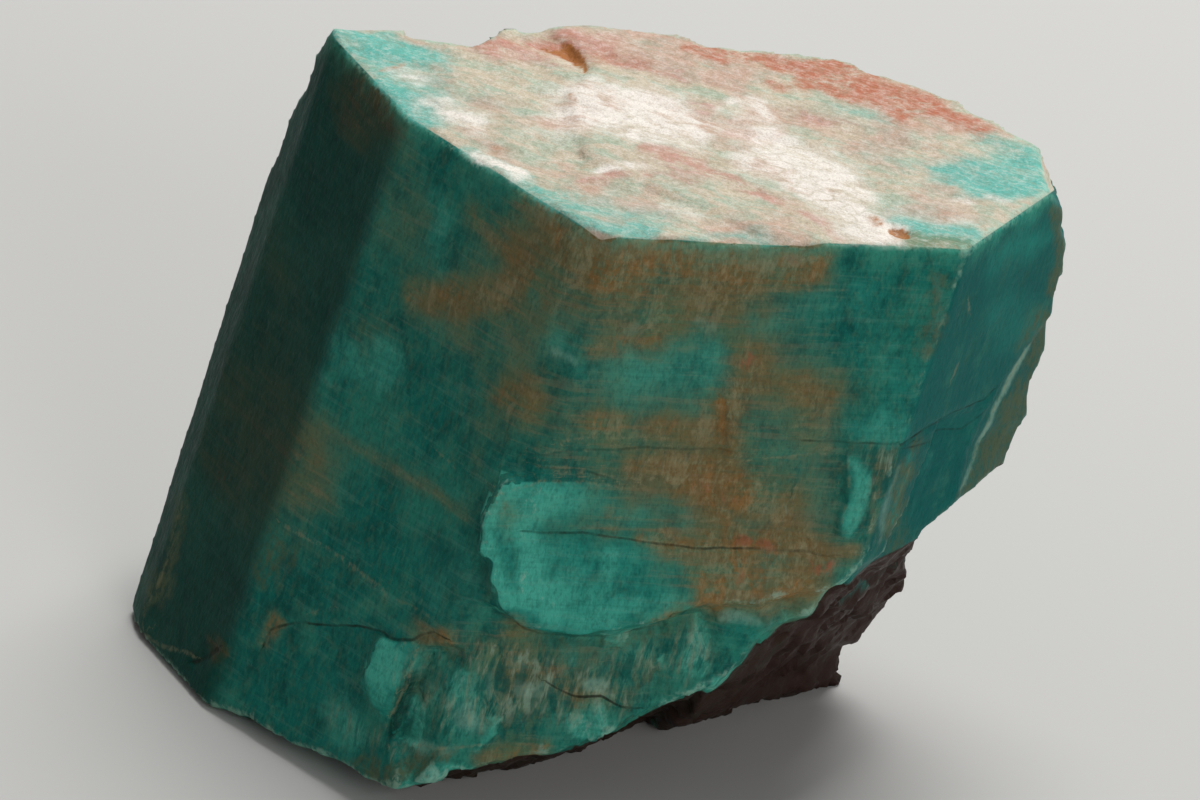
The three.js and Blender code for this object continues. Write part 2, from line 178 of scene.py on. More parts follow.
# Stains on the cleaved top, drawn from above: strength, half width and points (x, y)
ON_TOP = {
    # Partly white albite, partly a painted sheen where the cleavage mirrors the light
    "white": (
        (1, 2.8, [(-2, 11.4), (2.3, 13.3)]),
        (1, 2.97, [(-0.5, 16.4), (4.3, 14.4), (9.1, 9.4)]),
        (0.8, 1.75, [(4.3, 9.1), (9.1, 6.8)]),
        (1, 2.27, [(15.3, 2.3), (19.6, -0.5), (23.5, -6.3), (26.3, -11.3)]),
        (0.9, 2.1, [(18.7, 5.2), (22, 1.4), (24.4, -2.8)]),
        (0.8, 1.22, [(13.9, 14.2), (16.3, 14), (15.5, 11.4)]),
        (0.8, 1.57, [(14.8, 9.1), (16.7, 5.2)]),
        (0.9, 0.7, [(1, 1.8), (5.2, 2.1)]),
        (0.9, 0.88, [(-11.9, 5.4), (-7.7, 1)]),
        (0.6, 1.05, [(-18.4, 21.3), (-17, 20.2)]),
        (0.8, 1.57, [(-14.9, 15.6), (-13, 12.5), (-11.1, 10.2)]),
        (0.7, 0.7, [(34, -4.8), (35.6, -5.5)]),
        (0.8, 0.52, [(37.6, -4), (39, -5)]),
        (0.5, 1.22, [(29.2, -6.7), (34, -8.6)]),
        (0.5, 0.88, [(4.3, -5.2), (10, -7.1)]),
    ),
    "salmon": (
        (0.9, 0.88, [(9.1, 25.2), (12.1, 24)]),
        (1, 1.92, [(13.4, 24), (19.1, 21.7), (23.9, 18.7)]),
        (1, 2.62, [(23.9, 18.7), (28.3, 16.4), (30.6, 14)]),
        (0.8, 1.4, [(29.8, 13.7), (34.1, 11.6), (36.9, 9.4)]),
        (0.7, 0.52, [(16.7, 18.3), (18.2, 17.1)]),
        (0.45, 1.57, [(-9.9, 27.1), (-7.3, 26.3), (-3.8, 25.6)]),
        (0.5, 1.05, [(0.4, 24), (6.2, 21.3)]),
        (0.4, 1.75, [(10, 24.4), (15.8, 22.5), (22.5, 18.7)]),
        (0.5, 2.1, [(22.5, 19), (29.2, 14.8), (35, 11.4)]),
    ),
    "pink": (
        (0.8, 2.1, [(-9.2, 25.4), (-4.4, 24.4), (0.4, 25.4)]),
        (0.6, 1.75, [(2.3, 22.9), (9.1, 19.8)]),
        (0.8, 1.05, [(5.4, 14.6), (7, 13.7)]),
        (0.8, 1.22, [(10.2, 14), (11.9, 12.9)]),
        (0.9, 1.4, [(13.7, 8.5), (16.4, 7.5)]),
        (0.8, 0.88, [(5.2, 5.6), (8.9, 3.3)]),
        (0.8, 1.05, [(-0.7, 0.6), (4.3, -0.2)]),
        (1, 0.7, [(5.2, 5.2), (9.1, 2.1), (13, -1.3), (17.9, -5.2), (21.5, -9), (23.3, -11.5)]),
        (0.2, 2.45, [(-12.1, 15.8), (-5.3, 9.1)]),
        (0.6, 1.75, [(18.7, 12.5), (24.4, 9.4)]),
        (0.5, 1.75, [(4.3, 3.3), (10, -0.5)]),
        (0.8, 2.1, [(-9.7, 27.1), (-5.3, 26.7), (-0.5, 25.6)]),
    ),
    "cyan": (
        (1, 1.4, [(-25.3, 29), (-21.5, 27.9)]),
        (0.9, 1.75, [(-21.5, 26), (-18.3, 24.8), (-16.1, 23.6)]),
        (0.8, 1.4, [(-19.9, 19.4), (-18.3, 15.6), (-15.7, 11.7)]),
        (0.65, 1.05, [(-12.4, 6), (-7.3, -0.2), (-4.1, -5.2), (0.4, -9.8), (5, -10.5)]),
        (0.5, 1.75, [(-3.8, -2.8), (0.4, -5.9), (5.2, -7.5)]),
        (0.4, 1.05, [(9.1, -10.5), (15.8, -11.3)]),
        (0.95, 2.62, [(35.9, 1.4), (39.3, 1.8), (42.3, 2.1)]),
        (1, 2.27, [(37.4, -2.1), (40.9, -2.1)]),
        (0.9, 1.57, [(29.7, -9.8), (33.1, -11.3), (35.2, -11.7)]),
        (0.35, 1.75, [(26.3, -5.5), (31.6, -7.1)]),
        (0.35, 1.4, [(22.7, 13.3), (27.7, 11.4)]),
        (0.5, 1.4, [(37.4, 7.9), (40.9, 5.6)]),
        (0.25, 1.75, [(25.4, 5.2), (32.1, 2.1)]),
        (0.5, 2.45, [(-24.5, 29), (-19.3, 22.5), (-15.9, 14.8)]),
        (0.45, 3.5, [(35.5, -0.5), (40.7, 0.2)]),
        (0.3, 2.1, [(27.3, -9.4), (34, -10.1)]),
        (0.2, 2.45, [(-14, 17.7), (-7.3, 13.9)]),
    ),
    "ochre": (
        (0.8, 0.7, [(26.2, -8), (26.6, -9.2)]),
        (0.5, 0.52, [(-2.7, 16.4), (-2.4, 14.8)]),
        (0.5, 0.35, [(14.3, 15.2)]),
        (0.5, 0.7, [(10, 10.2), (11.2, 8.7)]),
        (0.4, 0.52, [(-9.7, 6.9), (-7.7, 6.4)]),
        (0.5, 0.52, [(-20.2, 21.3), (-18.6, 22.5)]),
        (0.45, 0.39, [(-0.3, -10.7), (4.3, -11.5), (10, -11.9), (18.7, -12.8)]),
    ),
    "moss": (
        (0.9, 1.05, [(29.7, -12.1), (33.1, -12.8), (35.6, -13.2)]),
        (0.5, 0.7, [(35.6, -12.6), (37.9, -10.7)]),
        (0.4, 0.52, [(19.6, -12.8), (24.4, -13.4), (29.2, -13.6)]),
    ),
    "crackled": (
        (1, 3.5, [(14.3, 5.2), (19.6, -1.5), (24.4, -8.2)]),
        (0.6, 2.45, [(11.9, 11), (15.8, 5.2)]),
    ),
}

# Stains on the front, drawn as it is seen level: strength, half width and points (x, z)
ON_FRONT = {
    "rust": (
        (0.8, 0.96, [(0.4, 52.3), (1, 51.3)]),
        (0.64, 0.96, [(-0.5, 52.8), (0.8, 51.7)]),
        (0.72, 0.96, [(2.8, 52.6), (9.1, 52.5)]),
        (0.72, 0.96, [(17.2, 52.9), (19.6, 52.6)]),
        (0.56, 0.72, [(10, 52.5), (16.7, 52.7)]),
        (0.64, 0.72, [(-6, 53.1), (-4.2, 52.9)]),
        (0.8, 0.84, [(-21.1, 53.3), (-20.4, 53.3)]),
        (0.48, 1.08, [(-21.8, 52.1), (-23.6, 49.6)]),
        (0.56, 0.72, [(-17.2, 40.3), (-12.1, 43.2), (-6.8, 46.5)]),
        (0.4, 0.84, [(-11.6, 48.9), (-9.2, 48.7), (-6.5, 48.7)]),
        (0.56, 0.48, [(0.2, 43.5), (3.3, 44.3), (6.6, 45.2)]),
        (0.56, 0.72, [(-8, 37.3), (-6.1, 38.2)]),
        (0.64, 0.6, [(0.1, 36.7), (2.5, 37)]),
        (0.48, 0.6, [(5.4, 36.8), (9.1, 37.1)]),
        (0.8, 1.08, [(11.9, 39.9), (12.1, 38.4)]),
        (0.48, 0.84, [(12.3, 37.1), (12.5, 34.9)]),
        (0.48, 0.96, [(15.5, 43.4), (15, 41.3)]),
        (0.48, 0.84, [(19.1, 40.9), (22.3, 40.6)]),
        (0.56, 0.72, [(7.7, 32.2), (11.5, 31.8), (14.6, 31.4)]),
        (0.64, 0.72, [(13.7, 33), (14.4, 31.8)]),
        (0.72, 0.84, [(11.2, 23.4), (13.4, 23.2)]),
        (0.64, 1.68, [(11.5, 24.7), (14.8, 25.3), (17.9, 24.6)]),
        (0.8, 0.6, [(17.4, 23.5), (18.1, 24.1)]),
        (0.8, 0.6, [(14.3, 24.1), (13.5, 25.2)]),
        (0.72, 0.72, [(6, 20.9), (6.6, 21.5)]),
        (0.48, 0.48, [(1.5, 29.3), (1.9, 29.1)]),
        (0.56, 0.48, [(7.3, 27.2), (8.1, 27)]),
        (0.64, 0.48, [(-31.6, 8.3), (-30.5, 10.1)]),
        (0.72, 0.36, [(-36.8, 4.6), (-35.9, 5.2)]),
        (0.8, 0.72, [(-16.1, 16.2), (-14.4, 16.7)]),
        (0.4, 0.72, [(-8, 18.2), (-7.1, 17.5)]),
        (0.56, 0.48, [(-4.3, 15.2), (-3.2, 15.2)]),
        (0.64, 0.6, [(-10.7, 6.1), (-5.1, 7.4)]),
        (0.48, 0.72, [(18.5, 31.3), (17.3, 28.2)]),
        (0.48, 0.48, [(-2.1, 12.5), (0.4, 12.7)]),
        (0.48, 0.6, [(-9.4, 29.5), (-7.8, 28.7)]),
        (0.6, 1.25, [(-0.5, 51.2), (9.1, 52), (19.6, 52.8)]),
        (0.5, 0.96, [(-0.7, 50.7), (0.4, 49.6)]),
        (0.5, 0.86, [(-3.4, 51.7), (-1.9, 51.3), (0.4, 51)]),
        (0.6, 1.15, [(0.4, 51.8), (9.1, 52.2), (18.7, 52.9)]),
        (0.4, 0.86, [(10, 51.7), (10.2, 48.4)]),
        (0.6, 0.38, [(4.3, 27.5), (14.9, 27.3), (24.4, 27.1)]),
        (0.6, 0.48, [(4.3, 33.6), (10, 33.5), (13.9, 32.3)]),
        (0.5, 0.38, [(10, 31.8), (12.9, 28.4)]),
        (0.6, 0.77, [(0.4, 52), (10, 52.5), (19.6, 53)]),
    ),
    "umber": (
        (0.5, 1.87, [(2.3, 50.5), (10, 50.1), (17.7, 51.2)]),
        (0.44, 2.25, [(4.3, 47.4), (10, 46.6)]),
        (0.39, 1.25, [(8.9, 48.3), (9.1, 46.4)]),
        (0.44, 1.37, [(3.5, 45.1), (10, 46)]),
        (0.39, 1.5, [(15.8, 43.2), (14.8, 40.7)]),
        (0.44, 1.37, [(12.1, 39.7), (12.7, 35.2)]),
        (0.33, 1.25, [(-9.2, 49.2), (-7.3, 48.9)]),
        (0.33, 1.75, [(-7.3, 46), (-4.2, 46.3)]),
        (0.33, 1.75, [(-4.6, 50.8), (-2.8, 49.8)]),
        (0.33, 1.25, [(-13.2, 39.3), (-10.9, 38.8)]),
        (0.39, 1, [(-23.4, 34.5), (-20.5, 35.9)]),
        (0.39, 1.12, [(-6.7, 37.9), (-8.7, 35.1), (-10.6, 32.4)]),
        (0.28, 0.62, [(-21.1, 26.6), (-19.5, 27.2)]),
        (0.33, 0.75, [(-18.2, 27.1), (-16.1, 27.2)]),
        (0.33, 0.37, [(-14.7, 27), (-10.9, 28.3)]),
        (0.22, 0.37, [(-20.3, 31.2), (-15.9, 31.3), (-12.1, 31.1)]),
        (0.44, 1.25, [(18.3, 31.3), (16.7, 27.7)]),
        (0.39, 1, [(18.2, 27.3), (23.9, 27.3)]),
        (0.28, 1.25, [(4.3, 33.3), (7.7, 34.1)]),
        (0.33, 1.5, [(10, 32.6), (11.9, 32)]),
        (0.33, 1.25, [(18.9, 20.6), (17.2, 16.8)]),
        (0.28, 1.12, [(7.6, 19.5), (10.2, 18.8)]),
        (0.33, 1.5, [(8.6, 23.7), (9.1, 22.5)]),
        (0.33, 1.25, [(27.3, 34.9), (26.9, 32.2)]),
        (0.28, 1.12, [(21.3, 47.3), (20.2, 46.2)]),
        (0.28, 1.12, [(20.2, 40.6), (22.1, 40.3)]),
        (0.33, 1, [(-8, 18), (-6.5, 16.3)]),
        (0.28, 1.5, [(0.4, 16.4), (5.2, 17.4)]),
        (0.28, 0.87, [(-2, 13), (0.8, 12.7)]),
        (0.44, 2.5, [(-32.4, 24.3), (-29.3, 24.9)]),
        (0.39, 2, [(-33, 20.5), (-29.5, 22.4)]),
        (0.5, 0.87, [(-36.4, 16.2), (-34.7, 17.7)]),
        (0.44, 1.12, [(-29.1, 23.5), (-28.6, 22.5)]),
        (0.28, 1.5, [(-30.8, 33.6), (-30.1, 33.2)]),
        (0.33, 1.12, [(-18.4, 51.4), (-18, 48.7), (-19, 44.8)]),
        (0.33, 1, [(-22, 51.7), (-23.4, 49.6)]),
        (0.22, 1.5, [(-3.4, 37.3), (-0.5, 35.7)]),
        (0.28, 1, [(19.6, 36.8), (23.5, 36.2)]),
        (0.28, 1.25, [(-11.1, 16), (-8.2, 15.3)]),
        (0.55, 2.3, [(0.4, 51), (6.2, 51), (11.9, 51.2), (17.2, 52)]),
        (0.5, 2.11, [(4.3, 47.7), (9.1, 47), (10.5, 48.4)]),
        (0.4, 3.26, [(5.2, 46.6), (10.5, 46.5)]),
        (0.5, 1.73, [(11.5, 49.3), (11.6, 45.8)]),
        (0.4, 3.84, [(14.3, 44.2), (17.2, 40.1)]),
        (0.35, 4.32, [(10, 37), (16.7, 36.7)]),
        (0.35, 2.5, [(-0.5, 36.5), (8.1, 36.7)]),
        (0.3, 4.42, [(-3.4, 46.9), (-5.3, 49), (-9.2, 48.6)]),
        (0.35, 1.34, [(-14.9, 41.6), (-11.1, 43.9), (-6.8, 46.3), (-2.3, 47.2)]),
        (0.3, 2.88, [(15.8, 32.9), (17.2, 29.5)]),
        (0.3, 2.3, [(9.1, 31.8), (13.4, 31.5)]),
        (0.4, 2.69, [(10, 27.2), (18.7, 27.4)]),
        (0.45, 2.88, [(11.5, 24.3), (18.2, 24.2)]),
        (0.25, 3.84, [(19.6, 39.3), (21.5, 34)]),
        (0.3, 2.88, [(-5.3, 38.8), (-9.2, 34.7)]),
        (0.2, 4.8, [(2.3, 32.3), (8.1, 29.2)]),
        (0.3, 1.92, [(-30.3, 34.5), (-30.2, 34.7)]),
        (0.4, 3.46, [(-32, 24.6), (-28.4, 24.6)]),
        (0.35, 1.92, [(-35.4, 18.2), (-36.5, 16.1)]),
        (0.3, 2.3, [(-19.3, 44.8), (-20.2, 36.6)]),
        (0.3, 1.73, [(-23.4, 50.5), (-21.5, 53.2)]),
        (0.25, 2.88, [(-4.9, 49.6), (-0.5, 47.7)]),
        (0.25, 2.5, [(-11.1, 40.7), (-7.3, 41.9)]),
        (0.35, 1.34, [(-12.1, 20.3), (-10.1, 16.9), (-6.3, 16.3)]),
        (0.3, 2.5, [(0.4, 15.5), (5.2, 14.8)]),
        (0.25, 2.5, [(-7.3, 15.4), (-3.4, 13)]),
        (0.35, 0.29, [(-26.5, 26.5), (-15.9, 27), (-11.8, 26.9)]),
        (0.3, 0.29, [(-29.6, 17.4), (-24.5, 17.4), (-20, 17)]),
        (0.5, 0.96, [(-9.2, 29.7), (-5.3, 28.6), (2.3, 29.1)]),
        (0.4, 0.86, [(0.4, 27.6), (6.2, 27.5), (10, 27.2)]),
        (0.35, 1.54, [(0.4, 51.5), (10, 51.7), (18.7, 52.1)]),
        (0.4, 0.96, [(11.9, 26), (14.3, 22.7)]),
        (0.5, 1.92, [(-2.5, 51.1), (0.4, 51.3), (8.1, 51.6), (17.7, 52.4)]),
        (0.35, 2.5, [(0.4, 49.2), (10, 49.2)]),
        (0.3, 3.26, [(-3.4, 47.7), (2.3, 48), (10, 47.5)]),
        (0.25, 3.84, [(4.3, 36.7), (10, 36.1)]),
        (0.35, 1.54, [(-0.5, 51.2), (8.1, 51.9), (18.7, 52.6)]),
        (0.6, 1.15, [(41.7, 34.5), (40.3, 31.1), (38.8, 28.4)]),
        (0.5, 0.48, [(27.3, 34.7), (26.6, 28.3)]),
        (0.5, 0.58, [(-16.1, 13.4), (-16.5, 11)]),
        (0.5, 0.86, [(-6.6, 14.1), (-3.4, 13)]),
        (0.6, 1.92, [(-1, 51.4), (9.1, 52.3), (19.6, 53.2)]),
        (0.5, 1.54, [(-2.8, 51.8), (0.4, 51), (4.3, 50.9)]),
        (0.4, 1.15, [(-0.5, 30.1), (5.2, 31.2)]),
        (0.4, 0.86, [(4.3, 33.3), (10, 33.2)]),
        (0.3, 1.15, [(-3.4, 32.9), (0.4, 33.4)]),
        (0.4, 0.96, [(-10.1, 15.6), (-7.3, 12.6)]),
        (0.4, 0.96, [(-1, 15.5), (2.3, 13)]),
    ),
    "red": (
        (1, 0.48, [(12.7, 27.6), (14.8, 27.5), (16.9, 27.2)]),
        (1, 0.67, [(20.6, 25.7), (21.6, 25.9)]),
        (0.9, 0.29, [(14.8, 27.4), (15.5, 27.2)]),
        (0.7, 0.58, [(14.3, 42.3), (15, 43.3)]),
        (0.6, 0.58, [(10, 31.8), (13.4, 31.6)]),
        (0.6, 0.38, [(-36.2, 16.5), (-35.3, 17.2)]),
        (0.5, 0.29, [(5.1, 24.7)]),
        (0.6, 0.58, [(17.6, 52.7), (18.7, 52.4)]),
        (0.6, 0.38, [(13.9, 24.8), (13.7, 24.1)]),
        (0.5, 0.38, [(-5.8, 1.9), (-5.2, 4.9)]),
    ),
    "bright": (
        (0.8, 1.34, [(-24.1, 32.3), (-20.2, 34.3)]),
        (0.6, 1.34, [(-15.9, 47.9), (-14.9, 45)]),
        (0.9, 1.92, [(3.9, 42.1), (7.1, 42.6), (10.5, 43)]),
        (0.5, 1.34, [(-4.4, 43.5), (-2.3, 41.8)]),
        (0.8, 0.86, [(-24.7, 5.8), (-23.4, 5.5)]),
        (0.6, 1.34, [(-13, 12.4), (-10.3, 11.5)]),
        (0.7, 0.96, [(-12.4, 10.3), (-11.3, 10.2)]),
        (0.7, 0.67, [(28.1, 38), (27.7, 37.3)]),
        (0.6, 1.15, [(38.8, 53.6), (41.1, 53.4)]),
        (0.6, 1.73, [(39.8, 50.3), (41.7, 49.9)]),
        (0.4, 1.54, [(4.3, 16.2), (8.1, 16)]),
        (0.4, 1.34, [(-7.3, 11.8), (-3.4, 11.4)]),
        (0.35, 2.3, [(26.3, 49.1), (29.2, 42.3), (27.3, 38)]),
        (0.35, 2.11, [(-3.4, 43.7), (0.4, 41.6)]),
        (0.3, 2.3, [(-24.1, 32.3), (-23.4, 32.5)]),
        (0.6, 1.15, [(-23.6, 6.5), (-24.5, 4.5)]),
        (0.4, 1.54, [(-3.9, 45.6), (-1.5, 45.7)]),
        (0.5, 2.11, [(16.7, 46.9), (22.5, 48.9)]),
        (0.4, 1.54, [(2.3, 39.3), (8.1, 39.1)]),
        (0.5, 1.92, [(-14.9, 20.6), (-12.5, 23.6)]),
        (0.2, 1.34, [(-3.4, 30), (4.3, 29.5)]),
        (0.6, 0.48, [(30, 34.7), (28.6, 27.9)]),
        (0.6, 0.96, [(26.5, 37.5), (28.6, 37.9)]),
        (0.4, 1.73, [(38.8, 45.3), (40.7, 40.3)]),
        (0.7, 1.15, [(-14, 13.9), (-13.4, 11.4)]),
        (0.4, 1.15, [(2.3, 15.4), (6.2, 16.7)]),
        (0.6, 1.15, [(-16.9, 12.9), (-14.9, 11), (-12.1, 9.8)]),
        (0.4, 0.96, [(10, 17.8), (12.9, 17.1)]),
        (0.35, 1.54, [(16.7, 36.7), (19.6, 34)]),
        (0.3, 1.92, [(-25.5, 11.1), (-23.6, 8.4)]),
        (0.4, 1.73, [(-2.5, 15.1), (0.4, 13.8)]),
    ),
    # Darker teal, partly the body's deeper green and partly painted shade, as under the plate's
    # lower edge and in the hollow beside the block
    "deep": (
        (0.9, 1.92, [(-14.9, 22.4), (-12.1, 22.6)]),
        (0.7, 1.06, [(15.8, 48.3), (20.2, 47.9)]),
        (0.5, 1.15, [(-2.3, 42.7), (-1.5, 42.4)]),
        (0.7, 0.86, [(-10.4, 26.3), (-9.9, 23.4)]),
        (0.6, 1.34, [(36.7, 43), (35.2, 38)]),
        (0.7, 1.34, [(33.5, 30.7), (32.1, 27.2)]),
        (0.9, 0.86, [(-15.7, 13.7), (-17.3, 11.2)]),
        (0.8, 0.77, [(-18.4, 9.8), (-19, 8.3)]),
        (0.6, 1.34, [(-3.4, 17.6), (0.4, 16.2)]),
        (0.5, 1.15, [(-8.7, 12.6), (-7.7, 11.8)]),
        (0.5, 2.88, [(-27.9, 42), (-25.5, 38.5)]),
        (0.6, 1.34, [(-36.3, 11), (-34.1, 9.9)]),
        (0.6, 1.73, [(-12.1, 26.7), (-11.6, 28.4)]),
        (0.5, 1.34, [(-3.4, 32.9), (-0.5, 32.2)]),
        (0.5, 1.34, [(10, 30.9), (9.1, 25.9)]),
        (0.4, 1.54, [(1.4, 30.6), (6.2, 30.4)]),
    ),
    "ash": (
        (0.9, 0.77, [(44.2, 51.6), (44.5, 47.6), (44, 42.8)]),
        (1, 2.11, [(40.9, 32.2), (39.6, 27.8)]),
        (0.9, 1.34, [(42.7, 39.9), (41.7, 35.7)]),
        (0.7, 1.15, [(37.9, 27.2), (36.4, 26.8)]),
        (0.7, 0.86, [(-43.2, 3.4), (-41, 7.9), (-39.7, 11.8)]),
        (0.6, 1.34, [(-29.8, 16), (-30.9, 13.2)]),
        (0.6, 0.86, [(33.3, 51), (32.1, 47.1), (31.3, 45)]),
        (0.6, 0.77, [(28.8, 34), (29.7, 29.2), (28.3, 27.5)]),
        (0.8, 0.86, [(-14, 6.9), (-18.8, 4.9), (-22.6, 3.3)]),
        (0.5, 1.15, [(-5.3, 17.5), (-3.4, 17.2)]),
        (0.5, 0.96, [(1.4, 17.5), (6.2, 17.9)]),
        (0.6, 0.86, [(30.7, 35.9), (29.7, 29.8), (28.6, 25)]),
        (0.5, 0.67, [(44.2, 51.6), (44.8, 46.2), (44.2, 42.2)]),
    ),
    "pale": (
        (0.9, 0.58, [(-6.5, 13.2), (-5.9, 12.8)]),
        (0.6, 0.48, [(-0.7, 13.4), (1, 13.8)]),
        (0.7, 0.48, [(12.7, 20.8), (15.3, 20.3)]),
        (0.6, 0.58, [(-4.2, 42.4), (-2.3, 42.3)]),
        (0.5, 0.58, [(10, 46.2), (11.2, 45.8)]),
        (0.5, 0.48, [(3.1, 44.9), (4.3, 45.5)]),
        (0.35, 0.58, [(33.1, 51), (32.1, 47.1), (31.1, 44.5)]),
        (0.6, 0.86, [(-12.4, 10.5), (-11.1, 9.8)]),
        (0.55, 0.77, [(-16.4, 6.9), (-14, 7.3)]),
        (0.5, 0.86, [(-6.3, 13.1), (-4.9, 12.8)]),
        (0.5, 0.77, [(-0.5, 13.5), (1, 13)]),
        (0.45, 0.77, [(-7.7, 15.9), (-7.3, 15.4)]),
        (0.4, 0.77, [(-14.9, 11.7), (-13, 11.4)]),
        (1, 0.35, [(41.1, 37.5), (39.5, 34.9), (38.2, 33)]),
        (0.9, 0.29, [(38.2, 33), (36.9, 30.1), (35.3, 26.8)]),
        (0.6, 0.43, [(28.8, 34.2), (27.5, 28.2)]),
        (0.7, 0.43, [(-9.7, 14.1), (-9.6, 12.3)]),
        (0.6, 0.43, [(-12.1, 11.5), (-11.7, 10.2)]),
        (0.6, 0.43, [(-4.9, 15.9), (-4.8, 13.7)]),
    ),
    # Painted light, partly the flakes' clearer green: where the plate, the block and the column
    # catch the light and it shines through their thin edges
    "lit": (
        (1, 1.25, [(-9.2, 31.2), (-10.3, 28.6), (-10.1, 26.3), (-9, 23.8), (-8.6, 21.7)]),
        (0.8, 2.11, [(-6.3, 29.3), (-5.3, 25.3), (-4.4, 21.9)]),
        (0.5, 1.34, [(-4.4, 21.5), (0.4, 21.1), (5.2, 22)]),
        (0.35, 2.5, [(-0.5, 24.6), (4.3, 24.4)]),
        (0.4, 1.06, [(-5.3, 30.2), (0.4, 29.9), (4.3, 29.5)]),
        (0.9, 0.86, [(25.2, 34.4), (25.4, 31.9), (24.4, 29.8)]),
        (0.9, 1.06, [(-19.7, 14), (-20.5, 11.1)]),
        (0.9, 0.67, [(26, 33.6), (25, 30.2)]),
        (1, 0.86, [(-9.7, 30.8), (-10.5, 28.4), (-10.5, 26.3)]),
        (0.9, 0.58, [(-6.3, 25.6), (-6.5, 21.8)]),
        (0.5, 0.96, [(6.2, 23.2), (9.1, 22.5)]),
        (0.4, 0.77, [(0.4, 23), (1.4, 25.6)]),
        (0.7, 0.86, [(-18.3, 14.3), (-19, 11.9)]),
        (0.5, 1.15, [(-8.7, 30.6), (-5.3, 30.9), (-3.4, 30.7)]),
    ),
    "splintered": (
        (0.9, 2.3, [(-14, 11.4), (-9.2, 11.8), (-3.4, 13), (1.4, 13.4)]),
        (0.8, 1.54, [(-11.1, 16), (-5.3, 15.5)]),
        (0.7, 1.54, [(4.3, 15.8), (9.1, 16.9)]),
        (0.7, 1.34, [(27.8, 35), (27.3, 31.7), (26.5, 27.8)]),
        (0.5, 1.34, [(19.6, 34), (18.7, 29.5)]),
        (0.4, 1.34, [(4.7, 34.2), (10, 34)]),
        (0.5, 1.15, [(-24.5, 5.7), (-16.9, 6.4)]),
    ),
}

# Hairline cracks in the front, drawn as it is seen level: strength and points (x, z)
CRACKS = (
    (0.6, [
        (-6.9, 27.7), (-1.5, 27.8), (1.6, 27.6), (4.3, 27.3), (10, 27.1), (14.9, 27.1),
        (19.6, 27.1), (22.9, 26.9),
    ]),
    (0.75, [
        (-32, 7.6), (-31.3, 9.2), (-29.4, 10.6), (-28, 11.5), (-25.5, 12.4), (-22.9, 13.7),
        (-18.8, 14.9), (-17.3, 15.5), (-15.5, 16.9), (-14.1, 16.8),
    ]),
    (0.35, [(-7.3, 33.6), (-3.4, 34.5), (4.3, 35.2), (9.1, 35.3), (13.1, 35.5)]),
    (0.4, [(-5.9, 33.1), (-2.5, 33), (1.7, 32.5)]),
    (0.9, [(-4.8, 13.7), (-2.2, 12.6), (0.6, 12.6), (2.5, 11.9), (4.3, 11.7)]),
    (0.7, [(29, 36.6), (31.5, 36.6), (34.3, 35.9), (37.1, 35.1), (38, 35.6)]),
    (0.5, [(29.1, 36.1), (32.1, 34.6), (35, 33.2), (37.3, 33.7)]),
    (0.9, [(-38.9, 2.3), (-37.4, 3.9), (-36.4, 5)]),
    (0.45, [(19.6, 36.8), (24.4, 36.7), (28.6, 36.8)]),
    (0.45, [
        (-9.5, 22.9), (-9.2, 21.4), (-7.9, 18.9), (-6.6, 18.2), (-4.9, 17.9), (-2, 17.9),
        (0.4, 18), (2.3, 18.3), (4, 18.6), (5.9, 19), (7.3, 21.3), (10.3, 21.1),
    ]),
)

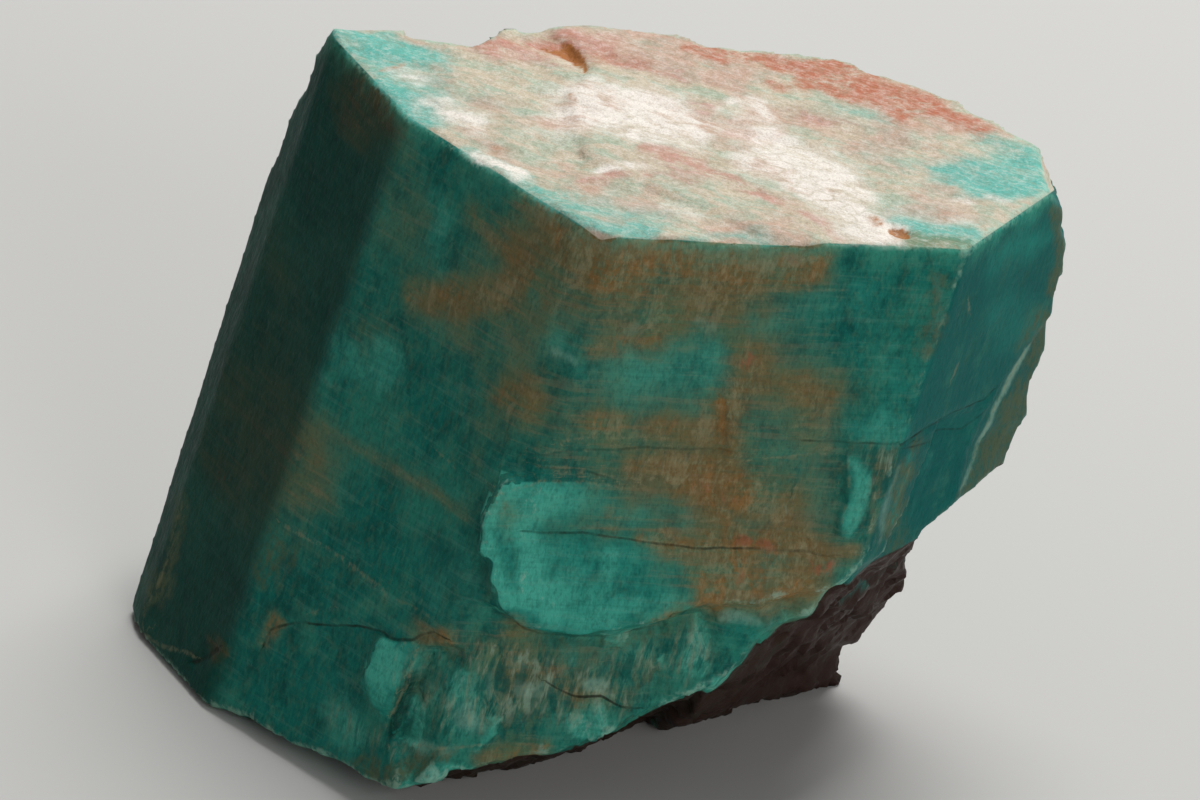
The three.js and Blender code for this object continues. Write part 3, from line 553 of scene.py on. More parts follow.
# Pale traces of cleavage in the front, drawn and listed in the same way
SEAMS = (
    (0.9, [(-29.9, 17.7), (-27.4, 17.8), (-24.1, 18), (-20.3, 17.7)]),
    (0.8, [(-44.1, 0.5), (-41.8, 1.3), (-38.9, 2.8)]),
    (0.5, [(-43.7, 1.7), (-41.8, 6.4), (-39.9, 12)]),
    (1, [(35.5, 47.4), (35.6, 46.3)]),
    (0.9, [(34.1, 40.5), (34.5, 41.4)]),
    (0.9, [(40.9, 37.3), (39.5, 34.9), (38.2, 33)]),
    (0.7, [(38.2, 33), (36.9, 31.1), (35.8, 28.1)]),
    (0.6, [(-14.4, 12.8), (-13.8, 14.2)]),
    (0.7, [(-9.4, 12.6), (-9.2, 12)]),
    (0.7, [(-8.4, 12.3), (-8.3, 11.3)]),
    (0.8, [(-12.1, 10.5), (-12, 9.9)]),
    (0.7, [(-16.9, 6.9), (-14, 7.5), (-10.6, 7.9)]),
    (0.9, [(-17, 14.9), (-18.2, 11.2), (-19.5, 8.9)]),
    (0.6, [(-20.2, 7.7), (-19.9, 6.4)]),
    (0.7, [(17.6, 33), (16.6, 30.5)]),
    (0.6, [(13.5, 31.2), (12.6, 28.5)]),
    (0.5, [(4.6, 35.2), (4.8, 32.8)]),
    (0.5, [(5.6, 35.3), (6.2, 33.2)]),
    (0.5, [(7.3, 35.3), (7.5, 33.4)]),
    (0.6, [(-6.1, 34.3), (0.4, 34.7), (6.2, 35.2)]),
    (0.7, [(-6.1, 33.1), (-2.5, 33.1), (1.6, 32.6)]),
    (0.5, [(12.6, 49.3), (24.5, 49.7)]),
    (0.5, [(19.7, 49.8), (21.1, 51.7)]),
    (0.6, [(7.7, 17.2), (7.2, 15.1)]),
    (0.6, [(-3.4, 14.3), (-2.8, 13)]),
    (0.5, [(-7.3, 15.4), (-6.3, 16.3)]),
    (0.6, [(24.2, 35.4), (24.1, 31.9), (23.5, 30.2)]),
    (0.6, [(29.9, 33.1), (28.7, 30.6), (27.7, 28)]),
    (0.5, [(-27.2, 12.6), (-25.5, 13.7)]),
    (1, [(41.1, 37.5), (39.5, 34.9), (38.2, 33)]),
    (0.8, [(38.2, 33), (36.9, 30.1), (35.3, 26.8)]),
    (0.6, [(-18.3, 15), (-17.6, 14.6), (-19, 11.1)]),
    (0.5, [(-18.8, 14.8), (-19.3, 11.7)]),
    (0.5, [(-14.9, 30.3), (-13.8, 30.1)]),
    (0.7, [(-9.2, 30.6), (-5.3, 31.9), (0.4, 31.9), (4.3, 31.9)]),
    (0.7, [(-3.4, 32.6), (4.3, 32.6), (11.9, 32.6)]),
    (0.6, [(9.1, 34), (15.8, 34.9), (23, 35.6)]),
    (0.6, [(4.3, 27.4), (10, 27.3), (14.9, 27.2), (19.6, 27.1), (25.6, 27.1)]),
    (0.5, [(12.9, 32.8), (18.7, 32.4), (22.5, 32.3)]),
    (0.5, [(-3.4, 35.5), (4.3, 36.1), (10, 36.1)]),
    (0.5, [(13.9, 37.4), (19.6, 38), (23.5, 38)]),
    (0.6, [(10, 29.2), (15.8, 29.6), (19.6, 29.4)]),
    (0.4, [(-26.5, 26.5), (-20.7, 26.9), (-15.9, 27), (-12.1, 26.7)]),
    (0.4, [(-24.1, 17.7), (-19.7, 17.4), (-15.9, 18.1)]),
)

# Outlines of what stands out or lies deeper in the front, drawn as it is seen level: (x, z)
OUTLINES = {
    "plate": [
        (-8.9, 31.8), (-9.2, 30.7), (-9.7, 29.8), (-10.1, 29.9), (-10.9, 27.8), (-11, 27.1),
        (-10.7, 27.6), (-10.9, 26.4), (-11.2, 24.6), (-10.3, 25.3), (-9.7, 25), (-9.8, 24.2),
        (-9.9, 23.5), (-9.5, 23), (-9.3, 22.5), (-9.3, 21.7), (-9, 21), (-8.1, 20.6),
        (-7.7, 19.6), (-6.6, 18.2), (-4.9, 18), (-2, 19.3), (0.4, 18.2), (2.2, 18.4),
        (3.8, 18.8), (5.7, 19.1), (6.4, 19.4), (7, 21.3), (9.1, 21.4), (10.3, 21.9),
        (13.4, 21.5), (16.7, 21.4), (18.5, 21.8), (19.2, 23.5), (19.9, 24.4), (21.1, 24.6),
        (22.1, 25.3), (22.9, 26.1), (22.7, 26.6), (21.4, 27.1), (18.7, 27.2), (14.8, 27.2),
        (10, 27.3), (9.5, 27.9), (9.4, 29), (9.1, 30.5), (7.3, 31.7), (4.3, 31.9), (0.4, 31.9),
        (-3.4, 31.9),
    ],
    "block": [
        (-20.2, 14.2), (-18.8, 14.9), (-17, 15.2), (-17.4, 14.3), (-18.3, 12.9), (-19, 11.1),
        (-19.7, 9.7), (-20, 8.3), (-20.6, 8.2), (-21.5, 9.3), (-22.2, 8.5), (-22.4, 9.7),
        (-21.8, 11.3), (-21.4, 12.5), (-20.9, 13.4),
    ],
    "column": [
        (24.1, 35.5), (26.2, 36), (26.5, 34.5), (26.3, 32.8), (26.2, 31.5), (26, 30.3),
        (25.2, 29.7), (23.9, 28.3), (23.3, 28.4), (23, 29.3), (23.3, 30.4), (24, 31.2),
        (24.1, 32.7), (23.9, 34.2),
    ],
    "hollow": [
        (-16.9, 13.9), (-15.1, 14.1), (-15.5, 13), (-16.7, 11.3), (-18.2, 8.6), (-19, 7.4),
        (-20.1, 6.6), (-20, 7.8), (-19.3, 10), (-18.4, 12),
    ],
    "tab": [
        (11.2, 19.6), (11.9, 20.7), (13.4, 21.3), (16.7, 21.6), (16.9, 20.9), (16.6, 20),
        (16.2, 17.2), (14.3, 19.1), (12.7, 19.4),
    ],
}


def linear(colour):
    """Scene-linear red, green, blue and alpha of an sRGB hex colour."""
    parts = [int(colour[i : i + 2], 16) / 255 for i in (1, 3, 5)]
    return tuple(
        p / 12.92 if p <= 0.04045 else ((p + 0.055) / 1.055) ** 2.4 for p in parts
    ) + (1.0,)


def ramp(values, low, high):
    """0 below low, 1 above high, and a smooth rise between them."""
    share = np.clip((values - low) / (high - low), 0.0, 1.0)
    return share * share * (3.0 - 2.0 * share)


def direction(azimuth, tilt):
    """Unit vector that faces azimuth seen from above, tilted up, both in degrees."""
    turn, rise = math.radians(azimuth), math.radians(tilt)
    return np.array(
        (math.cos(turn) * math.cos(rise), math.sin(turn) * math.cos(rise), math.sin(rise))
    )


def fibre_frame():
    """Rows: along a fibre, across it within its sheet, and square to the sheet."""
    fibre = Vector((math.cos(FIBRE_TURN), math.sin(FIBRE_TURN), 0.0))
    square = fibre.cross(PRISM_AXIS).normalized()
    return Matrix((fibre, square.cross(fibre), square))


def lumps(places, cell, seed):
    """Smooth noise from -1 to 1 at each place, in lumps of the cell's size in mm."""
    scaled = places / np.array(cell, float) + seed * 17.3
    return np.array([noise.noise(Vector(p)) for p in scaled])


def scatter(cells, seed):
    """Three repeatable numbers from 0 to 1 for each whole-numbered cell."""
    wave = np.sin(cells @ np.array((127.1, 311.7, 74.7)) + seed * 19.19)
    return np.modf(np.abs(wave)[:, None] * np.array((43758.5453, 22578.1459, 19642.349)))[0]


def facets(places, cell, seed):
    """Broken facets of the cell's size: a height from -1 to 1, and a number for each facet."""
    scaled = places / np.array(cell, float)
    corner = np.floor(scaled)
    nearest = np.full(len(places), 1e6)
    height = np.zeros(len(places))
    number = np.zeros(len(places))
    for step in np.ndindex(3, 3, 3):
        around = corner + np.array(step) - 1
        spot = scatter(around, seed)
        offset = scaled - around - spot
        gap = np.sum(offset * offset, axis=1)
        lean = scatter(around, seed + 1) - 0.5
        level = 2 * spot[:, 0] - 1 + np.sum(offset * lean, axis=1) * 1.6
        closer = gap < nearest
        nearest[closer] = gap[closer]
        height[closer] = level[closer]
        number[closer] = lean[closer, 0] + 0.5
    return height, number


def ragged(flat, seed):
    """Uneven shifts of places in a drawing, so that what is drawn there has ragged edges."""
    noise.seed_set(RAGGED_SEED)
    solid = np.column_stack((flat, np.full(len(flat), seed * 7.1)))
    shift = np.zeros((len(flat), 2))
    for cell, reach in RAGGED_WAVES:
        wander = [noise.noise_vector(Vector(p)) for p in solid / cell]
        shift += np.array(wander)[:, :2] * reach
    return shift


def reach_from(flat, points):
    """Distance from each place to a line through points, and which side of it that is."""
    nearest = np.full(len(flat), 1e6)
    side = np.ones(len(flat))
    points = [np.array(p, float) for p in points]
    if len(points) == 1:
        return np.hypot(*(flat - points[0]).T), side
    for start, end in zip(points, points[1:]):
        step = end - start
        share = np.clip((flat - start) @ step / (step @ step), 0.0, 1.0)
        offset = flat - start - share[:, None] * step
        gap = np.hypot(*offset.T)
        closer = gap < nearest
        nearest[closer] = gap[closer]
        turn = step[0] * offset[:, 1] - step[1] * offset[:, 0]
        side[closer] = np.sign(turn[closer])
    return nearest, side


def nearest_line(flat, table):
    """Distance to the nearest line of a table, the side of it, and how strong that line is."""
    near = np.full(len(flat), 1e6)
    side = np.ones(len(flat))
    strength = np.zeros(len(flat))
    for weight, points in table:
        gap, flank = reach_from(flat, points)
        closer = gap < near
        near[closer], side[closer], strength[closer] = gap[closer], flank[closer], weight
    return near, side, strength


def stained(flat, shift, marks, fade=STAIN_END):
    """Strength from 0 to 1 of one stain, from marks that fade out at so many half widths."""
    clear = np.ones(len(flat))
    for strength, half, points in marks:
        gap, _ = reach_from(flat + shift * min(1.0, half / 1.2), points)
        clear *= 1.0 - strength * (1.0 - ramp(gap / half, 0.0, fade))
    return 1.0 - clear


def within(flat, outline):
    """How far inside an outline each place is, under 0 outside it."""
    gap, _ = reach_from(flat, outline + outline[:1])
    inside = np.zeros(len(flat), bool)
    x, y = flat.T
    for (x1, y1), (x2, y2) in zip(outline, outline[1:] + outline[:1]):
        if y1 != y2:
            crosses = (y1 > y) != (y2 > y)
            inside ^= crosses & (x < x1 + (y - y1) * (x2 - x1) / (y2 - y1))
    return np.where(inside, gap, -gap)


def fine_copy(node, grain):
    """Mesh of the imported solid, merged and remade in small even faces."""
    mesh = node.data.copy()
    shape = bmesh.new()
    shape.from_mesh(mesh)
    bmesh.ops.remove_doubles(shape, verts=shape.verts, dist=1e-6)
    shape.to_mesh(mesh)
    shape.free()
    rough = bpy.data.objects.new("rough", mesh)
    bpy.context.scene.collection.objects.link(rough)
    remade = rough.modifiers.new("small faces", "REMESH")
    remade.mode = "VOXEL"
    remade.voxel_size = grain
    worn = rough.modifiers.new("worn edges", "SMOOTH")
    worn.factor = 0.5
    worn.iterations = 1
    graph = bpy.context.evaluated_depsgraph_get()
    fine = bpy.data.meshes.new_from_object(rough.evaluated_get(graph))
    bpy.data.objects.remove(rough)
    bpy.data.meshes.remove(mesh)
    return fine


def places_of(mesh):
    """Places in mm and outward directions of the mesh's vertices."""
    places = np.empty(len(mesh.vertices) * 3, np.float32)
    facing = np.empty(len(mesh.vertices) * 3, np.float32)
    mesh.vertices.foreach_get("co", places)
    mesh.vertex_normals.foreach_get("vector", facing)
    return places.reshape(-1, 3).astype(float) / MM, facing.reshape(-1, 3).astype(float)


def move(mesh, places):
    """Puts the mesh's vertices at places in mm."""
    mesh.vertices.foreach_set("co", (places * MM).astype(np.float32).ravel())
    mesh.update()


def refine(mesh, reach):
    """Cuts the faces along each crack and outline smaller, so that they stay sharp."""
    places, facing = places_of(mesh)
    flat = places[:, [0, 2]]
    lines = [points for _, points in CRACKS]
    lines += [outline + outline[:1] for outline in OUTLINES.values()]
    beside = np.minimum.reduce([reach_from(flat, points)[0] for points in lines])
    near = (beside < reach) & (facing[:, 1] < -FINE_FRONT) & (facing[:, 2] < FINE_UPWARD)
    shape = bmesh.new()
    shape.from_mesh(mesh)
    shape.verts.ensure_lookup_table()
    edges = [e for e in shape.edges if near[e.verts[0].index] and near[e.verts[1].index]]
    bmesh.ops.subdivide_edges(shape, edges=edges, cuts=1, use_grid_fill=True)
    bmesh.ops.triangulate(shape, faces=[f for f in shape.faces if len(f.verts) > 4])
    shape.to_mesh(mesh)
    shape.free()


def forward(facing, low, high):
    """How much each place faces the front, and not the top, from 0 to 1."""
    return ramp(-facing[:, 1], low, high) * (1.0 - ramp(facing[:, 2], *UPWARD))


def sunk(places, name):
    """How far each place lies behind one of the flat faces, in mm."""
    point, azimuth, tilt = FLAT_FACES[name]
    return (np.array(point) - places) @ direction(azimuth, tilt)


def shares(places, facing):
    """How much of each flat face, and of rough break, is at each place, from 0 to 1."""
    found = {}
    rough = np.ones(len(places))
    for name, (_, azimuth, tilt) in FLAT_FACES.items():
        square = direction(azimuth, tilt)
        on_face = 1.0 - ramp(np.abs(sunk(places, name)), *NEAR_FACE)
        found[name] = ramp(facing @ square, *ON_FACE) * on_face
        rough = np.minimum(rough, 1.0 - ramp(facing @ square, *UNBROKEN) * on_face)
    found["rough"] = rough
    return found


def steps(height, rise):
    """Terraces with short steep fronts, made from smooth noise, rise mm to a step."""
    level = height / rise
    floor = np.floor(level)
    return (floor + ramp(level - floor, *TERRACE_FRONT)) * rise


def relief(places, share):
    """How far each place stands out of the plain solid, in mm."""
    fibres = places @ np.array(fibre_frame()).T
    sheets = lumps(fibres, *SHEETS) + FINE_SHARE * lumps(fibres, *FINE_SHEETS)
    threads = lumps(fibres, *THREADS)
    waves = lumps(places, *WAVES)
    blocks, _ = facets(fibres + BEND * waves[:, None], *BLOCKS)
    chips, _ = facets(fibres, *CHIPS)
    out = share["top"] * (steps(SHEET_HEIGHT * sheets, TERRACE) + THREAD_HEIGHT * threads)
    faces = 1.0 - share["top"] - share["rough"]
    out += faces * WAVE_HEIGHT * waves
    inside = np.minimum.reduce([sunk(places, name) for name in FRONT_FACES])
    calm = CALM + (1.0 - CALM) * ramp(inside, *CALM_REACH)
    out += share["rough"] * calm * (BLOCK_HEIGHT * blocks + CHIP_HEIGHT * chips)
    return out


def convexity(mesh, places, facing):
    """Over 0 on worn corners and under 0 in hollows, for each vertex."""
    edges = np.empty(len(mesh.edges) * 2, np.int32)
    mesh.edges.foreach_get("vertices", edges)
    a, b = edges.reshape(-1, 2).T
    count = np.bincount(a, minlength=len(places)) + np.bincount(b, minlength=len(places))

    def around(values):
        total = np.zeros_like(values)
        np.add.at(total, a, values[b])
        np.add.at(total, b, values[a])
        return total / count.reshape([-1] + [1] * (values.ndim - 1))

    even = places
    for _ in range(3):
        even = around(even)
    bulge = np.sum((places - even) * facing, axis=1)
    for _ in range(2):
        bulge = 0.5 * bulge + 0.5 * around(bulge)
    return bulge


def keep(mesh, name, values):
    """Stores one number for each vertex, for the material to read."""
    layer = mesh.attributes.new(name, "FLOAT", "POINT")
    layer.data.foreach_set("value", np.asarray(values, np.float32))


def add(tree, kind, settings=None, inputs=None):
    """Adds a node, gives it its settings, and sets or links each named input."""
    made = tree.nodes.new(kind)
    for name, value in (settings or {}).items():
        setattr(made, name, value)
    for name, value in (inputs or {}).items():
        socket = made.inputs[name]
        if isinstance(value, bpy.types.NodeSocket):
            tree.links.new(value, socket)
        else:
            socket.default_value = value
    return made


# Patterns in the stone, as they run along a fibre, up its sheet and across the sheets in mm,
# with their detail, roughness and unevenness. The real flecks and threads are 0.1 mm wide, and
# are drawn about twice as coarse, so that they show.
PATTERNS = {
    "clouds": ((9.0, 9.0, 6.0), 2.0, 0.55, 0.0),
    "mottle": ((3.2, 4.2, 2.0), 4.0, 0.68, 0.0),
    "speckle": ((0.9, 1.3, 0.6), 3.0, 0.7, 0.0),
    "flecks": ((0.32, 0.55, 0.24), 1.0, 0.6, 0.0),
    "streaks": ((4.2, 6.0, 1.15), 4.0, 0.66, 0.5),
    "wisps": ((2.4, 4.0, 1.3), 4.0, 0.74, 0.8),
    "grain": ((0.5, 1.2, 0.2), 2.0, 0.65, 0.0),
    "threads": ((1.5, 2.8, 0.24), 1.0, 0.6, 0.0),
    "splinters": ((0.9, 4.2, 1.1), 3.0, 0.7, 0.3),
    "ledges": ((7.0, 7.0, 0.55), 3.0, 0.7, 0.0),
}
LEVEL = ("ledges",)  # patterns that lie level, as the cleavage does, and not along the fibres
CRACKLE = (2.2, 2.2, 1.2)  # usual size of the cells between the white parts' fine cracks, in mm
CRACKLE_HALF = 0.12  # share of a cell that the edge of a fine crack takes up
THIN, THICK = 0.36, 0.64  # values of a pattern that count as its thin and its thick places

# Coats of colour, from the inside out: colour, what holds its place, the pattern that breaks
# it up ("even" for none), how much of the coat the pattern's thin and thick places keep, and
# the share from which it starts to show, at which it is full, and how opaque it is there
COATS = (
    ("teal", "everywhere", "mottle", 0.3, 1.1, 0.0, 0.9, 1.0),
    ("sea", "everywhere", "clouds", 0.0, 1.0, 0.4, 1.0, 0.5),
    ("olive", "everywhere", "speckle", 0.0, 1.0, 0.4, 1.0, 0.24),
    ("sea", "rough", "mottle", 0.4, 1.2, 0.2, 1.0, 0.45),
    ("turquoise", "light_facet", "wisps", 0.4, 1.4, 0.1, 1.0, 0.7),
    ("milk", "light_facet", "wisps", -0.4, 1.4, 0.4, 1.2, 0.5),
    ("deep_teal", "dark_facet", "mottle", 0.6, 1.2, 0.1, 0.9, 0.7),
    ("olive", "dark_facet", "speckle", 0.3, 1.3, 0.4, 1.1, 0.4),
    # Darker teal on the deep marks, partly painted shade
    ("deep_teal", "deep", "mottle", 0.5, 1.3, 0.1, 1.0, 0.7),
    ("lagoon", "plate", "mottle", 0.4, 1.3, 0.0, 1.0, 0.65),
    ("lagoon", "block", "mottle", 0.6, 1.2, 0.0, 1.0, 0.8),
    ("lagoon", "column", "mottle", 0.5, 1.2, 0.0, 1.0, 0.35),
    # Painted light: the lit parts of the plate, the block and the column, in the next four coats
    ("turquoise", "plate lit", "mottle", 0.7, 1.3, 0.1, 1.0, 0.95),
    ("milk", "plate lit", "speckle", 0.4, 1.3, 0.9, 1.3, 0.6),
    ("turquoise", "block lit", "mottle", 0.9, 1.3, 0.0, 1.0, 0.95),
    ("turquoise", "column lit", "mottle", 0.6, 1.3, 0.1, 1.1, 0.8),
    # Painted shade in the hollow beside the block, where the step down lies in shadow
    ("painted_shade", "hollow", "mottle", 0.8, 1.2, 0.0, 1.0, 0.8),
    ("lagoon", "tab", "mottle", 0.5, 1.3, 0.0, 1.0, 0.4),
    ("turquoise", "bright", "mottle", 0.6, 1.3, 0.0, 1.2, 0.55),
    ("deep_teal", "everywhere", "grain", 1.0, 0.0, 0.4, 1.0, 0.22),
    ("sea", "everywhere", "grain", 0.0, 1.0, 0.5, 1.0, 0.2),
    ("olive", "iron", "mottle", 0.5, 1.3, 0.0, 0.9, 0.75),
    ("umber", "iron", "clouds", 0.3, 1.4, 0.1, 1.2, 0.75),
    ("umber", "iron", "ledges", -0.3, 1.6, 0.1, 1.3, 0.65),
    ("rust", "rust", "wisps", -0.7, 1.9, 0.2, 1.6, 0.6),
    ("deep_teal", "everywhere", "ledges", 1.0, 0.0, 0.5, 1.0, 0.16),
    ("milk", "everywhere", "ledges", 0.0, 1.0, 0.6, 1.0, 0.06),
    ("tan", "iron", "wisps", 1.6, -0.8, 0.3, 1.4, 0.35),
    ("tan", "iron", "speckle", -0.3, 1.2, 0.3, 1.2, 0.3),
    ("brick", "red", "speckle", 0.2, 1.5, 0.2, 1.2, 0.65),
    ("deep_teal", "splintered", "splinters", 1.5, -0.6, 0.2, 0.9, 0.6),
    ("umber", "splintered", "splinters", -0.3, 1.0, 0.0, 0.7, 0.4),
    ("milk", "splintered", "splinters", -1.0, 1.6, 0.3, 1.3, 0.4),
    # Painted shade: the narrow left face drawn darker, as it lies away from the light
    ("painted_shade", "narrow", "mottle", 0.9, 1.1, 0.0, 1.0, 0.72),
    ("umber", "iron", "grain", 1.0, 0.0, 0.4, 1.0, 0.35),
    ("tan", "iron", "grain", 0.0, 1.0, 0.5, 1.0, 0.25),
    ("clear", "right", "mottle", 0.5, 1.3, 0.0, 1.0, 0.85),
    ("lagoon", "right bright", "mottle", 0.5, 1.3, 0.0, 1.0, 0.8),
    ("ash", "ash", "speckle", 0.5, 1.4, 0.1, 1.0, 0.8),
    ("milk", "pale", "mottle", 0.6, 1.4, 0.1, 1.1, 0.5),
    ("tan", "seam", "speckle", 0.1, 1.5, 0.1, 1.1, 0.3),
    ("olive", "back", "clouds", -0.2, 1.3, 0.2, 1.0, 0.6),
    ("umber", "back", "wisps", -0.6, 1.5, 0.3, 1.2, 0.6),
    ("milk", "back", "wisps", 1.2, -1.2, 0.5, 1.2, 0.35),
    # Brown of the broken foot, made darker with painted shade on its undersides and low parts
    ("maroon_and_shade", "foot", "mottle", 0.8, 1.3, 0.1, 0.6, 0.95),
    ("salmon", "flush", "mottle", 0.1, 1.6, 0.2, 0.9, 0.75),
    ("sand", "top", "even", 1.0, 1.0, 0.0, 1.0, 1.0),
    ("sage", "top", "streaks", 0.0, 1.0, 0.25, 0.8, 0.85),
    ("blush", "top", "clouds", 0.0, 1.0, 0.35, 0.95, 0.5),
    ("umber", "top", "wisps", 0.0, 1.0, 0.55, 1.0, 0.15),
    ("cyan", "cyan", "clouds", 0.8, 1.2, 0.0, 0.9, 0.7),
    ("cyan", "cyan", "streaks", 0.3, 1.4, 0.1, 1.0, 0.8),
    ("blush", "pink", "streaks", 0.2, 1.6, 0.1, 1.1, 0.85),
    ("salmon", "salmon", "mottle", 0.4, 1.3, 0.0, 1.1, 0.8),
    ("salmon", "salmon", "wisps", -0.3, 1.6, 0.1, 1.3, 0.7),
    # White albite with a painted sheen on the cleavage
    ("pearl_and_sheen", "white", "streaks", 0.4, 1.6, 0.0, 1.2, 0.97),
    ("tan", "white crackled", "crackle", 0.0, 1.0, 0.1, 1.2, 0.4),
    ("olive", "moss", "streaks", 0.8, 1.2, 0.1, 0.9, 0.7),
    ("pearl_and_sheen", "top", "threads", 0.0, 1.0, 0.5, 1.0, 0.14),
    ("pearl_and_sheen", "top", "speckle", 0.0, 1.0, 0.5, 1.0, 0.2),
    ("umber", "top", "speckle", 1.0, 0.0, 0.5, 1.0, 0.16),
    ("umber", "top", "flecks", 0.0, 1.0, 0.6, 1.0, 0.2),
    ("ochre", "ochre", "speckle", 0.6, 1.3, 0.1, 0.9, 0.9),
    ("milk", "worn", "speckle", 0.3, 1.5, 0.2, 1.0, 0.5),
    # Painted glow: light shining through the green just under the top's edges
    ("painted_glow", "rim", "mottle", 0.6, 1.3, 0.15, 1.0, 0.6),
    ("soot", "everywhere", "flecks", 1.0, 0.0, 0.6, 1.0, 0.15),
    ("soot", "crack", "mottle", 0.35, 1.3, 0.0, 1.0, 0.8),
)

# What the material reads from the mesh, and the values between which it goes from 0 to 1.
# Those of one kind are distances in mm, so that their edges stay sharp between the vertices.
HELD = {
    "top": (-0.05, 0.08),
    "plate": (-0.1, 0.1),
    "block": (-0.15, 0.15),
    "column": (-0.15, 0.15),
    "hollow": (-0.2, 0.3),
    "tab": (-0.15, 0.15),
    "narrow": (-0.3, 0.5),
    "right": (-0.3, 0.3),
}

# How far from the middle of a line its colour ends, and where it is full, in mm
LINES = {"crack": (0.17, 0.06), "seam": (0.3, 0.05)}

# Fine unevenness of the surface: its pattern, its strength and its depth in mm
BUMPS = (("mottle", 0.5, 0.3), ("speckle", 0.5, 0.18), ("threads", 0.2, 0.05))

# Value of the speckle, and the roughness there, where the stone is shiniest and where dullest
SHINY, DULL = (0.3, 0.4), (0.7, 0.6)

# Sockets of a mix node that carry colours; their names are shared with its other sockets
COLOUR_A, COLOUR_B, COLOUR_OUT = 6, 7, 2


def add_patterns(tree):
    """Adds the patterns in the stone, and returns their outputs by name."""
    place = add(tree, "ShaderNodeTexCoord").outputs["Object"]
    turn = fibre_frame().transposed().to_euler()
    patterns = {}
    for name, (size, detail, rough, warp) in PATTERNS.items():
        size = [length * MM for length in size]
        along = (0.0, 0.0, 0.0) if name in LEVEL else turn
        cell = add(
            tree,
            "ShaderNodeMapping",
            {"vector_type": "TEXTURE"},
            {"Vector": place, "Rotation": along, "Scale": size},
        )
        noise_node = add(
            tree,
            "ShaderNodeTexNoise",
            {},
            {
                "Vector": cell.outputs["Vector"],
                "Scale": 1.0,
                "Detail": detail,
                "Roughness": rough,
                "Distortion": warp,
            },
        )
        patterns[name] = noise_node.outputs["Fac"]
    cell = add(
        tree,
        "ShaderNodeMapping",
        {"vector_type": "TEXTURE"},
        {"Vector": place, "Rotation": turn, "Scale": [length * MM for length in CRACKLE]},
    )
    split = add(
        tree,
        "ShaderNodeTexVoronoi",
        {"feature": "DISTANCE_TO_EDGE"},
        {"Vector": cell.outputs["Vector"], "Scale": 1.0, "Detail": 1.0},
    )
    patterns["crackle"] = add(
        tree,
        "ShaderNodeMapRange",
        {},
        {
            "Value": split.outputs["Distance"],
            "From Max": CRACKLE_HALF,
            "To Min": THICK,
            "To Max": THIN,
        },
    ).outputs["Result"]
    return patterns


def add_places(tree):
    """Adds what the mesh holds, and returns it by name as shares from 0 to 1."""
    held = {"everywhere": 1.0}
    named = {name for row in COATS for name in row[1].split()}
    for name in sorted(named - {"everywhere"} - set(LINES)):
        source = add(tree, "ShaderNodeAttribute", {"attribute_name": name})
        held[name] = source.outputs["Fac"]
        if name in HELD:
            low, high = HELD[name]
            sharp = add(
                tree,
                "ShaderNodeMapRange",
                {},
                {"Value": held[name], "From Min": low, "From Max": high},
            )
            held[name] = sharp.outputs["Result"]

    for name, (ends, full) in LINES.items():
        line = add(tree, "ShaderNodeAttribute", {"attribute_name": name}).outputs["Fac"]
        side = add(tree, "ShaderNodeAttribute", {"attribute_name": name + "_side"}).outputs["Fac"]
        away = add(tree, "ShaderNodeMath", {"operation": "ABSOLUTE"}, {0: side}).outputs["Value"]
        dirt = add(
            tree,
            "ShaderNodeMapRange",
            {},
            {"Value": away, "From Min": ends, "From Max": full, "To Max": line},
        )
        held[name] = dirt.outputs["Result"]
    return held


def add_coats(tree, looks, patterns, held):
    """Lays the coats over the deep teal, and returns the colour."""
    colour = tuple(looks.deep_teal) + (1.0,)
    for tint, where, pattern, thin, thick, starts, full, opaque in COATS:
        spread = add(
            tree,
            "ShaderNodeMapRange",
            {"clamp": True},
            {
                "Value": patterns.get(pattern, 1.0),
                "From Min": THIN,
                "From Max": THICK,
                "To Min": thin,
                "To Max": thick,
            },
        )
        share = spread.outputs["Result"]
        for name in where.split():
            both = add(tree, "ShaderNodeMath", {"operation": "MULTIPLY"}, {0: share, 1: held[name]})
            share = both.outputs["Value"]
        coat = add(
            tree,
            "ShaderNodeMapRange",
            {"interpolation_type": "SMOOTHSTEP"},
            {"Value": share, "From Min": starts, "From Max": full, "To Max": opaque},
        )
        paint = tuple(getattr(looks, tint)) + (1.0,)
        colour = add(
            tree,
            "ShaderNodeMix",
            {"data_type": "RGBA"},
            {"Factor": coat.outputs["Result"], COLOUR_A: colour, COLOUR_B: paint},
        ).outputs[COLOUR_OUT]
    return colour


def add_bumps(tree, patterns):
    """Adds the fine unevenness, and returns the surface's direction."""
    surface = None
    for pattern, strength, depth in BUMPS:
        under = {"Normal": surface} if surface else {}
        surface = add(
            tree,
            "ShaderNodeBump",
            {},
            {"Strength": strength, "Distance": depth * MM, "Height": patterns[pattern], **under},
        ).outputs["Normal"]
    return surface


